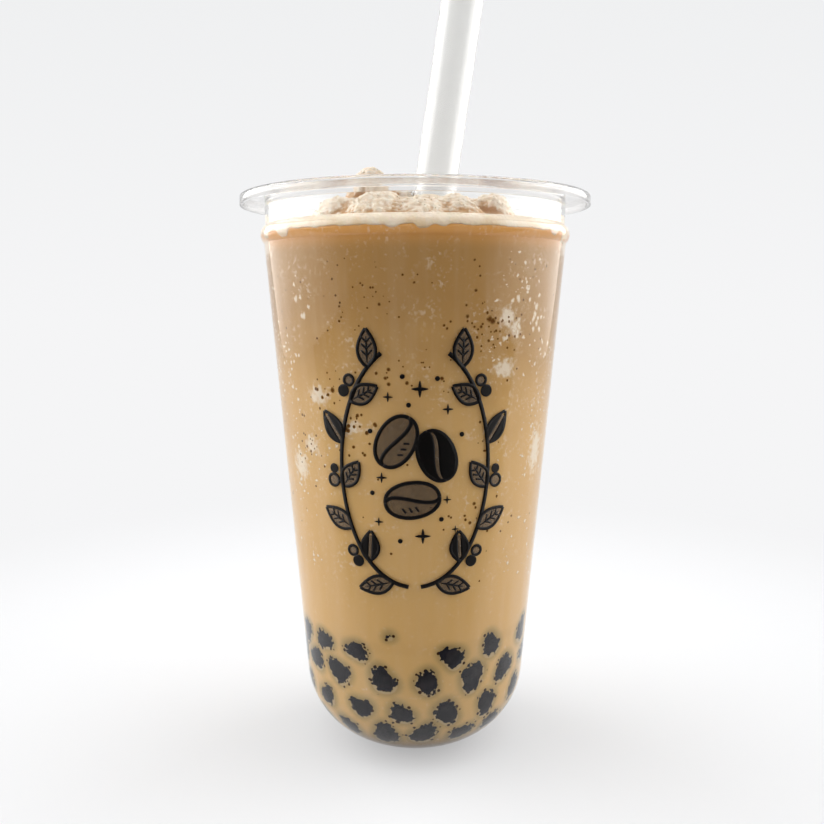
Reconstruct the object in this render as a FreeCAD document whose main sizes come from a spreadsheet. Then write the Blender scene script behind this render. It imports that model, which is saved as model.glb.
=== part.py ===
import FreeCAD, Part
import math
import os

import Sketcher

# Iced coffee frappe in a clear round-bottomed cup, with a wide drinking straw.
#
# Row frame: the origin is on the cup's axis, on the surface that it stands on,
# and +Z points up. +X is to the drinker's right and -Y towards the drinker.
# Lengths are in millimetres and angles in degrees.
SIZES = [
    # cup, outside
    ("cup_height", 152.0),
    ("rim_radius", 47.5),
    ("rim_round", 0.6),
    ("lip_round", 0.4),
    ("flange_thick", 0.9),
    ("skirt_depth", 2.6),
    ("skirt_thick", 0.8),
    ("collar_radius", 40.9),
    ("collar_depth", 7.6),
    ("bead_round", 3.2),
    ("wall_top_drop", 12.5),
    ("wall_top_radius", 41.3),
    ("wall_foot_radius", 31.4),
    ("bowl_height", 18.9),
    ("foot_radius", 16.0),
    ("foot_land", 1.2),
    ("foot_lift", 0.9),
    # cup, inside
    ("wall_thick", 0.8),
    ("bowl_thick", 1.3),
    ("floor_thick", 1.4),
    ("thin_wall_height", 37.0),
    ("thick_wall_height", 34.0),
    # contents
    ("drink_level", 141.8),
    ("foam_thick", 2.2),
    ("slush_radius", 29.0),
    ("slush_height", 8.0),
    ("slush_peak", 17.5),
    # straw
    ("straw_diameter", 12.0),
    ("straw_wall", 0.4),
    ("straw_length", 230.0),
    ("straw_slant", 50.0),
    ("straw_lean_right", 8.27),
    ("straw_lean_back", 4.98),
    ("straw_foot_x", -16.4),
    ("straw_foot_y", -5.2),
    ("straw_foot_height", 3.6),
]

# Lumps of the slush heap: the place of each across the heap and its reach, as
# fractions of the heap's radius, and its top, as a fraction of the heap's height.
LUMPS = [
    (0.00, 0.00, 0.92, 0.90),
    (-0.69, -0.40, 0.28, 0.92),
    (-0.31, -0.57, 0.37, 1.03),
    (0.04, -0.64, 0.32, 0.83),
    (0.40, -0.50, 0.36, 1.00),
    (0.70, -0.22, 0.27, 1.10),
    (0.80, 0.02, 0.20, 0.75),
    (-0.70, 0.06, 0.29, 0.84),
    (-0.48, 0.58, 0.38, 1.00),
    (0.06, 0.64, 0.38, 1.18),
    (0.56, 0.46, 0.38, 1.20),
    (0.12, -0.22, 0.40, 1.06),
    (0.42, 0.02, 0.34, 1.12),
    (-0.08, 0.30, 0.38, 1.40),
]
# The one tall lump, as place and reach, and the hollows, with depth as the top.
PEAK = (-0.43, 0.20, 0.36)
HOLLOWS = [
    (0.57, -0.50, 0.17, 0.65),
    (-0.52, -0.20, 0.14, 0.40),
]
LUMP_POWER = 2.2
LUMP_BLEND = 0.45
GRID_STEPS = 36
GRID_MARGIN = 4.0


def make_sheet(doc):
    """Write every driving size into the spreadsheet under its own name."""
    sheet = doc.addObject("Spreadsheet::Sheet", "sizes")
    for row, (name, value) in enumerate(SIZES, start=1):
        sheet.set(f"A{row}", name)
        sheet.set(f"B{row}", str(value))
        sheet.setAlias(f"B{row}", name)
    doc.recompute()
    return sheet


def new_sketch(body, name, role):
    """Start a sketch on one of the body's own origin planes."""
    sketch = body.newObject("Sketcher::SketchObject", name)
    plane = next(item for item in body.Origin.OriginFeatures if item.Role == role)
    sketch.AttachmentSupport = [(plane, "")]
    sketch.MapMode = "FlatFace"
    return sketch


class Section:
    """Half-section of a turned shape, drawn end to end in a sketch."""

    def __init__(self, sketch):
        self.sketch = sketch
        self.ends = {}

    def line(self, name, start, end, guide=False):
        """Add a straight edge and remember its two ends."""
        edge = Part.LineSegment(FreeCAD.Vector(*start), FreeCAD.Vector(*end))
        self.ends[name] = (self.sketch.addGeometry(edge, guide), 1, 2)

    def arc(self, name, centre, start, end, leftward, guide=False):
        """Add an arc from start to end that bends left or right on its way."""
        first, last = (start, end) if leftward else (end, start)
        radius = math.hypot(start[0] - centre[0], start[1] - centre[1])
        circle = Part.Circle(FreeCAD.Vector(*centre), FreeCAD.Vector(0, 0, 1), radius)
        angles = [math.atan2(p[1] - centre[1], p[0] - centre[0]) for p in (first, last)]
        number = self.sketch.addGeometry(Part.ArcOfCircle(circle, *angles), guide)
        self.ends[name] = (number, 1, 2) if leftward else (number, 2, 1)

    def constrain(self, *terms):
        """Add one constraint and return its number."""
        return self.sketch.addConstraint(Sketcher.Constraint(*terms))

    def drive(self, number, formula):
        """Bind a measured constraint to the spreadsheet."""
        self.sketch.setExpression(f"Constraints[{number}]", formula)

    def chain(self, names, smooth=()):
        """Join edges end to start, tangent into the ones named smooth."""
        for first, second in zip(names, names[1:]):
            edge_a, _, end_a = self.ends[first]
            edge_b, start_b, _ = self.ends[second]
            kind = "Tangent" if second in smooth else "Coincident"
            self.constrain(kind, edge_a, end_a, edge_b, start_b)

    def pin(self, name, across=None, up=None, far=False):
        """Place the start, or far end, of an edge by its distance from the axis and the floor."""
        edge, near_end, far_end = self.ends[name]
        point = far_end if far else near_end
        here = self.sketch.getPoint(edge, point)
        if across is not None:
            self.drive(self.constrain("DistanceX", -1, 1, edge, point, here.x), across)
        if up is not None:
            self.drive(self.constrain("DistanceY", -1, 1, edge, point, here.y), up)

    def on_axis(self, name):
        """Put the start of an edge on the cup's axis."""
        edge, start, _ = self.ends[name]
        self.constrain("PointOnObject", edge, start, -2)

    def upright(self, *names):
        """Keep edges parallel to the cup's axis."""
        for name in names:
            self.constrain("Vertical", self.ends[name][0])

    def level(self, *names):
        """Keep edges square to the cup's axis."""
        for name in names:
            self.constrain("Horizontal", self.ends[name][0])

    def rounding(self, name, value, formula):
        """Give an arc its radius."""
        self.drive(self.constrain("Radius", self.ends[name][0], value), formula)

    def same_centre(self, name, other):
        """Give two arcs one centre."""
        self.constrain("Coincident", self.ends[name][0], 3, self.ends[other][0], 3)

    def beside(self, name, other, gap, formula):
        """Keep an edge parallel to another, a wall's thickness away."""
        edge, start, _ = self.ends[name]
        self.constrain("Parallel", edge, self.ends[other][0])
        self.drive(self.constrain("Distance", edge, start, self.ends[other][0], gap), formula)


class CupLines:
    """Where the lines of the cup's half-section run, worked out from the sheet."""

    def __init__(self, sheet):
        self.size = sheet
        self.top = sheet.cup_height
        self.wall_foot = (sheet.wall_foot_radius, sheet.bowl_height)
        self.wall_top = (sheet.wall_top_radius, self.top - sheet.wall_top_drop)
        self.collar_foot = (sheet.collar_radius, self.top - sheet.collar_depth)
        rise = self.wall_top[1] - self.wall_foot[1]
        self.taper = math.atan2(self.wall_top[0] - self.wall_foot[0], rise)
        self.bowl_radius, self.bowl_centre = self.fit_bowl()
        self.bead_centre = self.fit_bead()

    def fit_bowl(self):
        """Round that leaves the wall tangentially and ends at the foot ring."""
        across = self.size.foot_radius - self.wall_foot[0]
        down = -self.wall_foot[1]
        inward = (math.cos(self.taper), -math.sin(self.taper))
        radius = -(across ** 2 + down ** 2) / 2 / (across * inward[0] + down * inward[1])
        return radius, (self.wall_foot[0] - radius * inward[0], self.wall_foot[1] - radius * inward[1])

    def fit_bead(self):
        """Centre of the stacking bead's round, from its two ends."""
        (foot_x, foot_y), (top_x, top_y) = self.wall_top, self.collar_foot
        chord = math.hypot(top_x - foot_x, top_y - foot_y)
        back = math.sqrt(self.size.bead_round ** 2 - chord ** 2 / 4)
        return (
            (foot_x + top_x) / 2 - back * (top_y - foot_y) / chord,
            (foot_y + top_y) / 2 + back * (top_x - foot_x) / chord,
        )

    def inner_wall(self, gap, height):
        """Point of the wall's inside at a height, a thickness in from the outside."""
        across = self.wall_foot[0] + (height - self.wall_foot[1]) * math.tan(self.taper)
        return (across - gap / math.cos(self.taper), height)

    def bead_inside(self, across, side):
        """Point of the bead's inside at a distance from the axis, below or above its middle."""
        radius = self.size.bead_round - self.size.wall_thick
        rise = math.sqrt(radius ** 2 - (across - self.bead_centre[0]) ** 2)
        return (across, self.bead_centre[1] + side * rise)

    def bowl_inside(self, height):
        """Point of the bowl's inside at a height."""
        radius = self.bowl_radius - self.size.bowl_thick
        drop = self.bowl_centre[1] - height
        return (self.bowl_centre[0] + math.sqrt(radius ** 2 - drop ** 2), height)


def draw_wall(section, lines, guide=False):
    """Outside of the cup's wall: the bowl from the foot ring up, the wall and the stacking bead."""
    section.arc("bowl", lines.bowl_centre, (lines.size.foot_radius, 0), lines.wall_foot, True, guide)
    section.line("wall", lines.wall_foot, lines.wall_top, guide)
    section.arc("bead", lines.bead_centre, lines.wall_top, lines.collar_foot, True, guide)
    section.chain(["bowl", "wall", "bead"], {"wall"})
    section.pin("bowl", across="sizes.foot_radius")
    section.constrain("PointOnObject", section.ends["bowl"][0], 1, -1)
    section.pin("wall", "sizes.wall_foot_radius", "sizes.bowl_height")
    section.pin("bead", "sizes.wall_top_radius", "sizes.cup_height - sizes.wall_top_drop")
    section.pin("bead", "sizes.collar_radius", "sizes.cup_height - sizes.collar_depth", far=True)
    section.rounding("bead", lines.size.bead_round, "sizes.bead_round")


def draw_foot(section, lines):
    """Underside of the cup: a foot ring round a raised middle."""
    size = lines.size
    foot_in = size.foot_radius - size.foot_land
    section.line("recess", (0, size.foot_lift), (foot_in, size.foot_lift))
    section.line("foot_wall", (foot_in, size.foot_lift), (foot_in, 0))
    section.line("foot", (foot_in, 0), (size.foot_radius, 0))
    section.chain(["recess", "foot_wall", "foot", "bowl"])
    section.on_axis("recess")
    section.pin("recess", up="sizes.foot_lift")
    section.pin("foot_wall", across="sizes.foot_radius - sizes.foot_land")
    section.upright("foot_wall")
    section.level("recess", "foot")


def draw_rim(section, lines):
    """Collar above the bead, and the rim that reaches out from it with a skirt round its edge."""
    size = lines.size
    skirt_in = size.rim_radius - size.skirt_thick
    under = lines.top - size.flange_thick
    hem = lines.top - size.skirt_depth
    edge_x, edge_y = size.rim_radius - size.rim_round, lines.top - size.rim_round
    section.line("collar", lines.collar_foot, (size.collar_radius, under))
    section.line("flange", (size.collar_radius, under), (skirt_in, under))
    section.line("skirt_back", (skirt_in, under), (skirt_in, hem))
    section.line("hem", (skirt_in, hem), (size.rim_radius, hem))
    section.line("skirt", (size.rim_radius, hem), (size.rim_radius, edge_y))
    section.arc("rim_edge", (edge_x, edge_y), (size.rim_radius, edge_y), (edge_x, lines.top), True)
    section.chain(["bead", "collar", "flange", "skirt_back", "hem", "skirt", "rim_edge"], {"rim_edge"})
    section.pin("flange", up="sizes.cup_height - sizes.flange_thick")
    section.pin("skirt_back", across="sizes.rim_radius - sizes.skirt_thick")
    section.pin("hem", up="sizes.cup_height - sizes.skirt_depth")
    section.pin("skirt", across="sizes.rim_radius")
    section.pin("rim_edge", up="sizes.cup_height - sizes.rim_round")
    section.rounding("rim_edge", size.rim_round, "sizes.rim_round")
    section.upright("collar", "skirt_back", "skirt")
    section.level("flange", "hem")


def draw_inside(section, lines):
    """Inside of the cup, from below its mouth to the middle of its floor."""
    size = lines.size
    mouth = size.collar_radius - size.wall_thick
    floor = size.foot_lift + size.floor_thick
    collar_top = (mouth, lines.top - size.lip_round)
    bead_top = lines.bead_inside(mouth, 1)
    bead_foot = lines.bead_inside(lines.inner_wall(size.wall_thick, bead_top[1] - size.bead_round)[0], -1)
    thin_foot = lines.inner_wall(size.wall_thick, size.thin_wall_height)
    thick_top = lines.inner_wall(size.bowl_thick, size.thick_wall_height)
    thick_foot = lines.inner_wall(size.bowl_thick, size.bowl_height)
    floor_edge = lines.bowl_inside(floor)
    section.line("collar_in", collar_top, bead_top)
    section.arc("bead_in", lines.bead_centre, bead_top, bead_foot, False)
    section.line("wall_in", bead_foot, thin_foot)
    section.line("step_in", thin_foot, thick_top)
    section.line("thick_in", thick_top, thick_foot)
    section.arc("bowl_in", lines.bowl_centre, thick_foot, floor_edge, False)
    section.line("floor_in", floor_edge, (0, floor))
    names = ["collar_in", "bead_in", "wall_in", "step_in", "thick_in", "bowl_in", "floor_in"]
    section.chain(names, {"bowl_in"})


def size_inside(section, lines):
    """Tie the inside to the outside and the spreadsheet."""
    size = lines.size
    section.pin("collar_in", across="sizes.collar_radius - sizes.wall_thick")
    section.upright("collar_in")
    section.same_centre("bead_in", "bead")
    section.rounding("bead_in", size.bead_round - size.wall_thick, "sizes.bead_round - sizes.wall_thick")
    section.beside("wall_in", "wall", size.wall_thick, "sizes.wall_thick")
    section.pin("step_in", up="sizes.thin_wall_height")
    section.beside("thick_in", "wall", size.bowl_thick, "sizes.bowl_thick")
    section.pin("thick_in", up="sizes.thick_wall_height")
    section.same_centre("bowl_in", "bowl")
    section.pin("floor_in", up="sizes.foot_lift + sizes.floor_thick")
    section.level("floor_in")


def turn_about_axis(body, sketch):
    """Turn a closed half-section into a solid."""
    turned = body.newObject("PartDesign::Revolution", f"{body.Name}_turned")
    turned.Profile = sketch
    turned.ReferenceAxis = (sketch, ["V_Axis"])
    turned.Angle = 360
    sketch.Visibility = False


def make_cup(doc, lines):
    """The moulded cup, with a skirted rim, a stacking bead and a round bottom on a foot ring."""
    body = doc.addObject("PartDesign::Body", "cup")
    section = Section(new_sketch(body, "cup_section", "XZ_Plane"))
    draw_wall(section, lines)
    draw_foot(section, lines)
    draw_rim(section, lines)
    draw_inside(section, lines)
    size = lines.size
    mouth = size.collar_radius - size.wall_thick
    lip_x, lip_y = mouth + size.lip_round, lines.top - size.lip_round
    section.line("rim_top", (size.rim_radius - size.rim_round, lines.top), (lip_x, lines.top))
    section.arc("lip", (lip_x, lip_y), (lip_x, lines.top), (mouth, lip_y), True)
    section.line("spine", (0, size.foot_lift + size.floor_thick), (0, size.foot_lift))
    section.chain(["rim_edge", "rim_top", "lip", "collar_in"], {"rim_top", "lip", "collar_in"})
    section.chain(["floor_in", "spine", "recess"])
    size_inside(section, lines)
    section.rounding("lip", size.lip_round, "sizes.lip_round")
    section.level("rim_top")
    section.on_axis("spine")
    turn_about_axis(body, section.sketch)
    return body


def make_cavity(doc, lines):
    """The room inside the cup, up to its mouth, as a solid to take the contents from."""
    body = doc.addObject("PartDesign::Body", "cavity")
    section = Section(new_sketch(body, "cavity_section", "XZ_Plane"))
    draw_wall(section, lines, guide=True)
    draw_inside(section, lines)
    size = lines.size
    mouth_height = lines.top - size.lip_round
    section.line("spine", (0, size.foot_lift + size.floor_thick), (0, mouth_height))
    section.line("lid", (0, mouth_height), (size.collar_radius - size.wall_thick, mouth_height))
    section.chain(["floor_in", "spine", "lid", "collar_in"])
    size_inside(section, lines)
    section.pin("collar_in", up="sizes.cup_height - sizes.lip_round")
    section.on_axis("spine")
    section.on_axis("lid")
    section.level("lid")
    turn_about_axis(body, section.sketch)
    return body


def straw_placement(sheet):
    """Lean of the straw: out of the cup to the right and slightly to the back."""
    right = math.tan(math.radians(sheet.straw_lean_right))
    back = math.tan(math.radians(sheet.straw_lean_back))
    foot = FreeCAD.Vector(sheet.straw_foot_x, sheet.straw_foot_y, sheet.straw_foot_height)
    upright = FreeCAD.Vector(0, 0, 1)
    return FreeCAD.Placement(foot, FreeCAD.Rotation(upright, FreeCAD.Vector(right, back, 1)))


def make_straw(doc, sheet):
    """A wide straw with a slant-cut foot, its point towards the middle of the cup."""
    body = doc.addObject("PartDesign::Body", "straw")
    ring = new_sketch(body, "straw_ring", "XY_Plane")
    radii = (sheet.straw_diameter / 2, sheet.straw_diameter / 2 - sheet.straw_wall)
    formulas = ("sizes.straw_diameter / 2", "sizes.straw_diameter / 2 - sizes.straw_wall")
    for radius, formula in zip(radii, formulas):
        circle = Part.Circle(FreeCAD.Vector(), FreeCAD.Vector(0, 0, 1), radius)
        number = ring.addGeometry(circle, False)
        ring.addConstraint(Sketcher.Constraint("Coincident", number, 3, -1, 1))
        bound = ring.addConstraint(Sketcher.Constraint("Radius", number, radius))
        ring.setExpression(f"Constraints[{bound}]", formula)
    tube = body.newObject("PartDesign::Pad", "straw_tube")
    tube.Profile = ring
    tube.setExpression("Length", "sizes.straw_length")
    doc.recompute()
    cut_slant(doc, body, sheet)
    body.Placement = straw_placement(sheet)
    return body


def cut_slant(doc, body, sheet):
    """Cut the straw's foot off at a slant, from its point up to its far side."""
    slant = Section(new_sketch(body, "straw_slant", "XZ_Plane"))
    radius = sheet.straw_diameter / 2
    rise = sheet.straw_diameter * math.tan(math.radians(sheet.straw_slant))
    slant.line("under", (-radius, 0), (radius, 0))
    slant.line("cut", (radius, 0), (-radius, rise))
    slant.line("side", (-radius, rise), (-radius, 0))
    slant.chain(["under", "cut", "side", "under"])
    slant.constrain("PointOnObject", slant.ends["under"][0], 1, -1)
    slant.level("under")
    slant.upright("side")
    slant.pin("cut", across="sizes.straw_diameter / 2")
    width = slant.constrain("DistanceX", slant.ends["under"][0], 1, slant.ends["under"][0], 2, 2 * radius)
    slant.drive(width, "sizes.straw_diameter")
    slant.pin("side", up="sizes.straw_diameter * tan(sizes.straw_slant * 1 deg)")
    pocket = body.newObject("PartDesign::Pocket", "straw_cut")
    pocket.Profile = slant.sketch
    pocket.Type = "ThroughAll"
    pocket.Midplane = True
    doc.recompute()


def make_straw_core(doc, sheet):
    """A full rod of the straw's outside, which clears its place in the foam and the slush."""
    rod = doc.addObject("Part::Cylinder", "straw_core")
    rod.setExpression("Radius", "sizes.straw_diameter / 2")
    rod.setExpression("Height", "sizes.straw_length")
    rod.Placement = straw_placement(sheet)
    return rod


def make_slab(doc, name, foot, thick):
    """A disc wider than the cup, from one level to another."""
    slab = doc.addObject("Part::Cylinder", name)
    slab.setExpression("Radius", "sizes.rim_radius")
    slab.setExpression("Height", thick)
    slab.setExpression("Placement.Base.z", foot)
    return slab


def boolean(doc, kind, name, base, tool):
    """Cut one solid by another, or keep what they share."""
    result = doc.addObject(f"Part::{kind}", name)
    result.Base = base
    result.Tool = tool
    return result


def make_drink(doc, cavity, straw):
    """The drink up to its level, outside the straw and inside it."""
    below = make_slab(doc, "below_level", "0", "sizes.drink_level")
    filled = boolean(doc, "Common", "filled", cavity, below)
    return boolean(doc, "Cut", "drink", filled, straw)


def make_foam(doc, cavity, core):
    """The pale foam that floats on the drink."""
    band = make_slab(doc, "foam_band", "sizes.drink_level", "sizes.foam_thick")
    disc = boolean(doc, "Common", "foam_disc", cavity, band)
    return boolean(doc, "Cut", "foam_head", disc, core)


def dome(across, back, place, radius, height):
    """Height of one lump above a point of the heap, falling below zero outside its reach."""
    centre_x, centre_y, reach = place[0] * radius, place[1] * radius, place[2] * radius
    distance = math.hypot(across - centre_x, back - centre_y)
    return height * (1 - (distance / reach) ** LUMP_POWER)


def heap_height(across, back, sheet):
    """Height of the slush above the foam: its lumps run together, less its hollows."""
    radius = sheet.slush_radius
    tops = [dome(across, back, lump, radius, lump[3] * sheet.slush_height) for lump in LUMPS]
    tops.append(dome(across, back, PEAK, radius, sheet.slush_peak))
    highest = max(tops)
    blend = sum(math.exp((top - highest) / LUMP_BLEND) for top in tops)
    height = highest + LUMP_BLEND * math.log(blend)
    for hollow in HOLLOWS:
        share = dome(across, back, hollow, radius, 1.0)
        height -= hollow[3] * sheet.slush_height * max(share, 0.0)
    return max(height, -sheet.slush_height)


def heap_solid(sheet):
    """A smooth surface over the heap, filled down to the foam."""
    foam_top = sheet.drink_level + sheet.foam_thick
    half = sheet.slush_radius + GRID_MARGIN
    places = [half * (2 * step / GRID_STEPS - 1) for step in range(GRID_STEPS + 1)]
    grid = [[FreeCAD.Vector(x, y, foam_top + heap_height(x, y, sheet)) for y in places] for x in places]
    surface = Part.BSplineSurface()
    surface.interpolate(grid)
    depth = 3 * sheet.slush_height
    column = surface.toShape().extrude(FreeCAD.Vector(0, 0, -depth))
    room = Part.makeCylinder(half, 2 * depth, FreeCAD.Vector(0, 0, foam_top))
    kept = max(column.common(room).Solids, key=lambda solid: solid.Volume)
    return kept


def make_slush(doc, sheet, core):
    """The heap of slush that stands out of the foam round the straw."""
    heap = doc.addObject("Part::Feature", "slush_heap")
    heap.Shape = heap_solid(sheet)
    return boolean(doc, "Cut", "slush_mound", heap, core)


def check(doc, nodes):
    """Stop if any object failed or any sub-part has no sound shape."""
    for item in doc.Objects:
        if "Invalid" in item.State or "Error" in item.State:
            raise RuntimeError(f"{item.Name} is {item.State}")
    for node in nodes:
        if node.Shape.isNull() or not node.Shape.isValid():
            raise RuntimeError(f"{node.Label} has no sound shape")
        if len(node.Shape.Solids) != 1:
            raise RuntimeError(f"{node.Label} has {len(node.Shape.Solids)} solids")


def main():
    """Build the document and write one file for each sub-part."""
    doc = FreeCAD.newDocument("coffee_frappe")
    sheet = make_sheet(doc)
    lines = CupLines(sheet)
    cup = make_cup(doc, lines)
    cavity = make_cavity(doc, lines)
    straw = make_straw(doc, sheet)
    core = make_straw_core(doc, sheet)
    drink = make_drink(doc, cavity, straw)
    foam = make_foam(doc, cavity, core)
    slush = make_slush(doc, sheet, core)
    doc.recompute()
    nodes = [cup, drink, foam, slush, straw]
    for node in nodes:
        node.Label = node.Name
    check(doc, nodes)
    os.makedirs("parts", exist_ok=True)
    for node in nodes:
        node.Shape.exportStep(f"parts/{node.Label}.step")
        print(node.Label, "volume", round(node.Shape.Volume), "mm3")


main()
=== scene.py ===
"""Looks of an iced coffee frappe in a clear moulded cup, with foam, slush, tapioca pearls and a straw."""

import logging
import math
import random
from collections.abc import Callable, Sequence
from dataclasses import dataclass, field
from enum import Enum

import bpy
import numpy as np
from mathutils import Matrix, Vector, noise
from mathutils.bvhtree import BVHTree


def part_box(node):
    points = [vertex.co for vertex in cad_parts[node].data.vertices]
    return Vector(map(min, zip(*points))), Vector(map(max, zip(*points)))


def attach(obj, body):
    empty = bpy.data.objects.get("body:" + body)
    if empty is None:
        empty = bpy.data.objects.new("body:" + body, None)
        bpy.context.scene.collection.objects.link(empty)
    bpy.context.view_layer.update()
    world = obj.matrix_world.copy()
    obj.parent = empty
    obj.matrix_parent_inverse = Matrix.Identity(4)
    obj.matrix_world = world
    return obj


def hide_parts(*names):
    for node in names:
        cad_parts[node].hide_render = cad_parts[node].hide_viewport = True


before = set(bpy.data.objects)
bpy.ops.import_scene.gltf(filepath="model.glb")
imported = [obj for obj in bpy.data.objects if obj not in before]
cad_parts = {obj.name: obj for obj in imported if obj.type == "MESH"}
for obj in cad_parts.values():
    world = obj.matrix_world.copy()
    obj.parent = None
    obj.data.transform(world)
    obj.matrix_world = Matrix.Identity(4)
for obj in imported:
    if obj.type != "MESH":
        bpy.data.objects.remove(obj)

MM = 0.001
log = logging.getLogger("frappe")

Point = tuple[float, float, float]
Flat = tuple[float, float]
Face = tuple[int, ...]
Skin = tuple[np.ndarray, list[Face]]
Cap = tuple[np.ndarray, list[Face], list[float]]
Tree = bpy.types.NodeTree
Socket = bpy.types.NodeSocket
Setting = float | tuple | Socket


class Slot(Enum):
    """The record's material slots."""

    CUP = "clear_plastic"
    DRINK = "milk_coffee"
    FOAM = "milk_foam"
    SLUSH = "ice_slush"
    STRAW = "straw_plastic"
    PEARL = "tapioca"
    INK = "print_ink"


class Mark(Enum):
    """Numbers that a mesh carries at its vertices for its finish to read."""

    PEARL_GAP = "pearl_gap"
    UNDER_PEARL = "under_pearl"
    FROTH = "froth"
    EDGE = "edge"
    SHADE = "shade"


def linear(code: str) -> tuple[float, float, float, float]:
    """Turn an sRGB colour into linear light.

    Args:
        code: The colour as six hex digits after a hash.

    Returns:
        Red, green and blue in linear light, and an alpha of one.
    """
    parts = [int(code[place:place + 2], 16) / 255 for place in (1, 3, 5)]
    light = [v / 12.92 if v <= 0.04045 else ((v + 0.055) / 1.055) ** 2.4 for v in parts]
    return (light[0], light[1], light[2], 1.0)


def per_size(size_mm: float) -> float:
    """Pattern scale that gives features of a size in millimetres."""
    return 1.0 / (size_mm * MM)


def add_node(tree: Tree, kind: str, joins: dict[str | int, Setting] | None = None,
             **settings: object) -> bpy.types.Node:
    """Add a shader node, set it up and join its inputs.

    Args:
        tree: The node tree to add it to.
        kind: The node's type, without the words that all shader nodes start with.
        joins: For each input, by name or place, its value or the socket that feeds it.
        settings: Other settings of the node, by name.

    Returns:
        The new node.
    """
    node = tree.nodes.new(f"ShaderNode{kind}")
    for name, value in settings.items():
        setattr(node, name, value)
    for key, value in (joins or {}).items():
        if isinstance(value, Socket):
            tree.links.new(value, node.inputs[key])
        else:
            node.inputs[key].default_value = value
    return node


@dataclass(frozen=True)
class Finish:
    """What every finish has: its material's name, and the ways in which colours and patterns are laid."""

    name: str

    def start(self) -> tuple[bpy.types.Material, Tree]:
        """Make the empty material.

        Returns:
            The material and its cleared node tree.
        """
        material = bpy.data.materials.new(self.name)
        material.use_nodes = True
        material.node_tree.nodes.clear()
        return material, material.node_tree

    def end(self, tree: Tree, surface: Socket) -> None:
        """Join the finished surface to the material's output."""
        add_node(tree, "OutputMaterial", {"Surface": surface})

    def grain(self, tree: Tree, size_mm: float, detail: float = 2.0) -> Socket:
        """Cloudy variation of a real size, from 0 to 1, fixed to the object.

        Args:
            tree: The material's node tree.
            size_mm: How large the clouds are.
            detail: How many finer layers they have.

        Returns:
            The socket that gives the variation.
        """
        place = add_node(tree, "TexCoord").outputs["Object"]
        joins = {"Vector": place, "Scale": per_size(size_mm), "Detail": detail}
        return add_node(tree, "TexNoise", joins).outputs["Fac"]

    def wander(self, tree: Tree, value: Setting, size_mm: float, reach: float, detail: float = 2.0) -> Socket:
        """Let a value drift up and down from place to place.

        Args:
            tree: The material's node tree.
            value: The value that drifts.
            size_mm: How large the drifts are.
            reach: How far apart their extremes are.
            detail: How many finer layers they have.

        Returns:
            The socket that gives the drifting value.
        """
        joins = {0: self.grain(tree, size_mm, detail), 1: -0.5}
        drift = add_node(tree, "Math", joins, operation="ADD").outputs[0]
        joins = {0: drift, 1: reach, 2: value}
        return add_node(tree, "Math", joins, operation="MULTIPLY_ADD").outputs[0]

    def layer(self, tree: Tree, under: Setting, over: str, value: Setting, span: Flat,
              cover: Setting = 1.0) -> Socket:
        """Lay one colour over another where a value has come far enough.

        Args:
            tree: The material's node tree.
            under: The colour below, in linear light.
            over: The hex code of the colour that is laid on it.
            value: What decides where it lies.
            span: The value at which it sets in, and the one at which it is full.
            cover: How much it hides where it is full.

        Returns:
            The socket that gives the mixed colour.
        """
        joins = {"Value": value, "From Min": span[0], "From Max": span[1], "To Max": cover}
        share = add_node(tree, "MapRange", joins, interpolation_type="SMOOTHSTEP").outputs["Result"]
        return add_node(tree, "Mix", {0: share, 6: under, 7: linear(over)}, data_type="RGBA").outputs[2]

    def through_for_lamps(self, tree: Tree, surface: Socket, tint: str) -> Socket:
        """Let lamps shine through a clear surface.

        Args:
            tree: The material's node tree.
            surface: The clear surface.
            tint: The hex code of the colour that lamplight keeps.

        Returns:
            The socket that gives the mixed surface.
        """
        lamps = add_node(tree, "LightPath").outputs["Is Shadow Ray"]
        open_way = add_node(tree, "BsdfTransparent", {"Color": linear(tint)}).outputs[0]
        return add_node(tree, "MixShader", {0: lamps, 1: surface, 2: open_way}).outputs[0]


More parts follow.
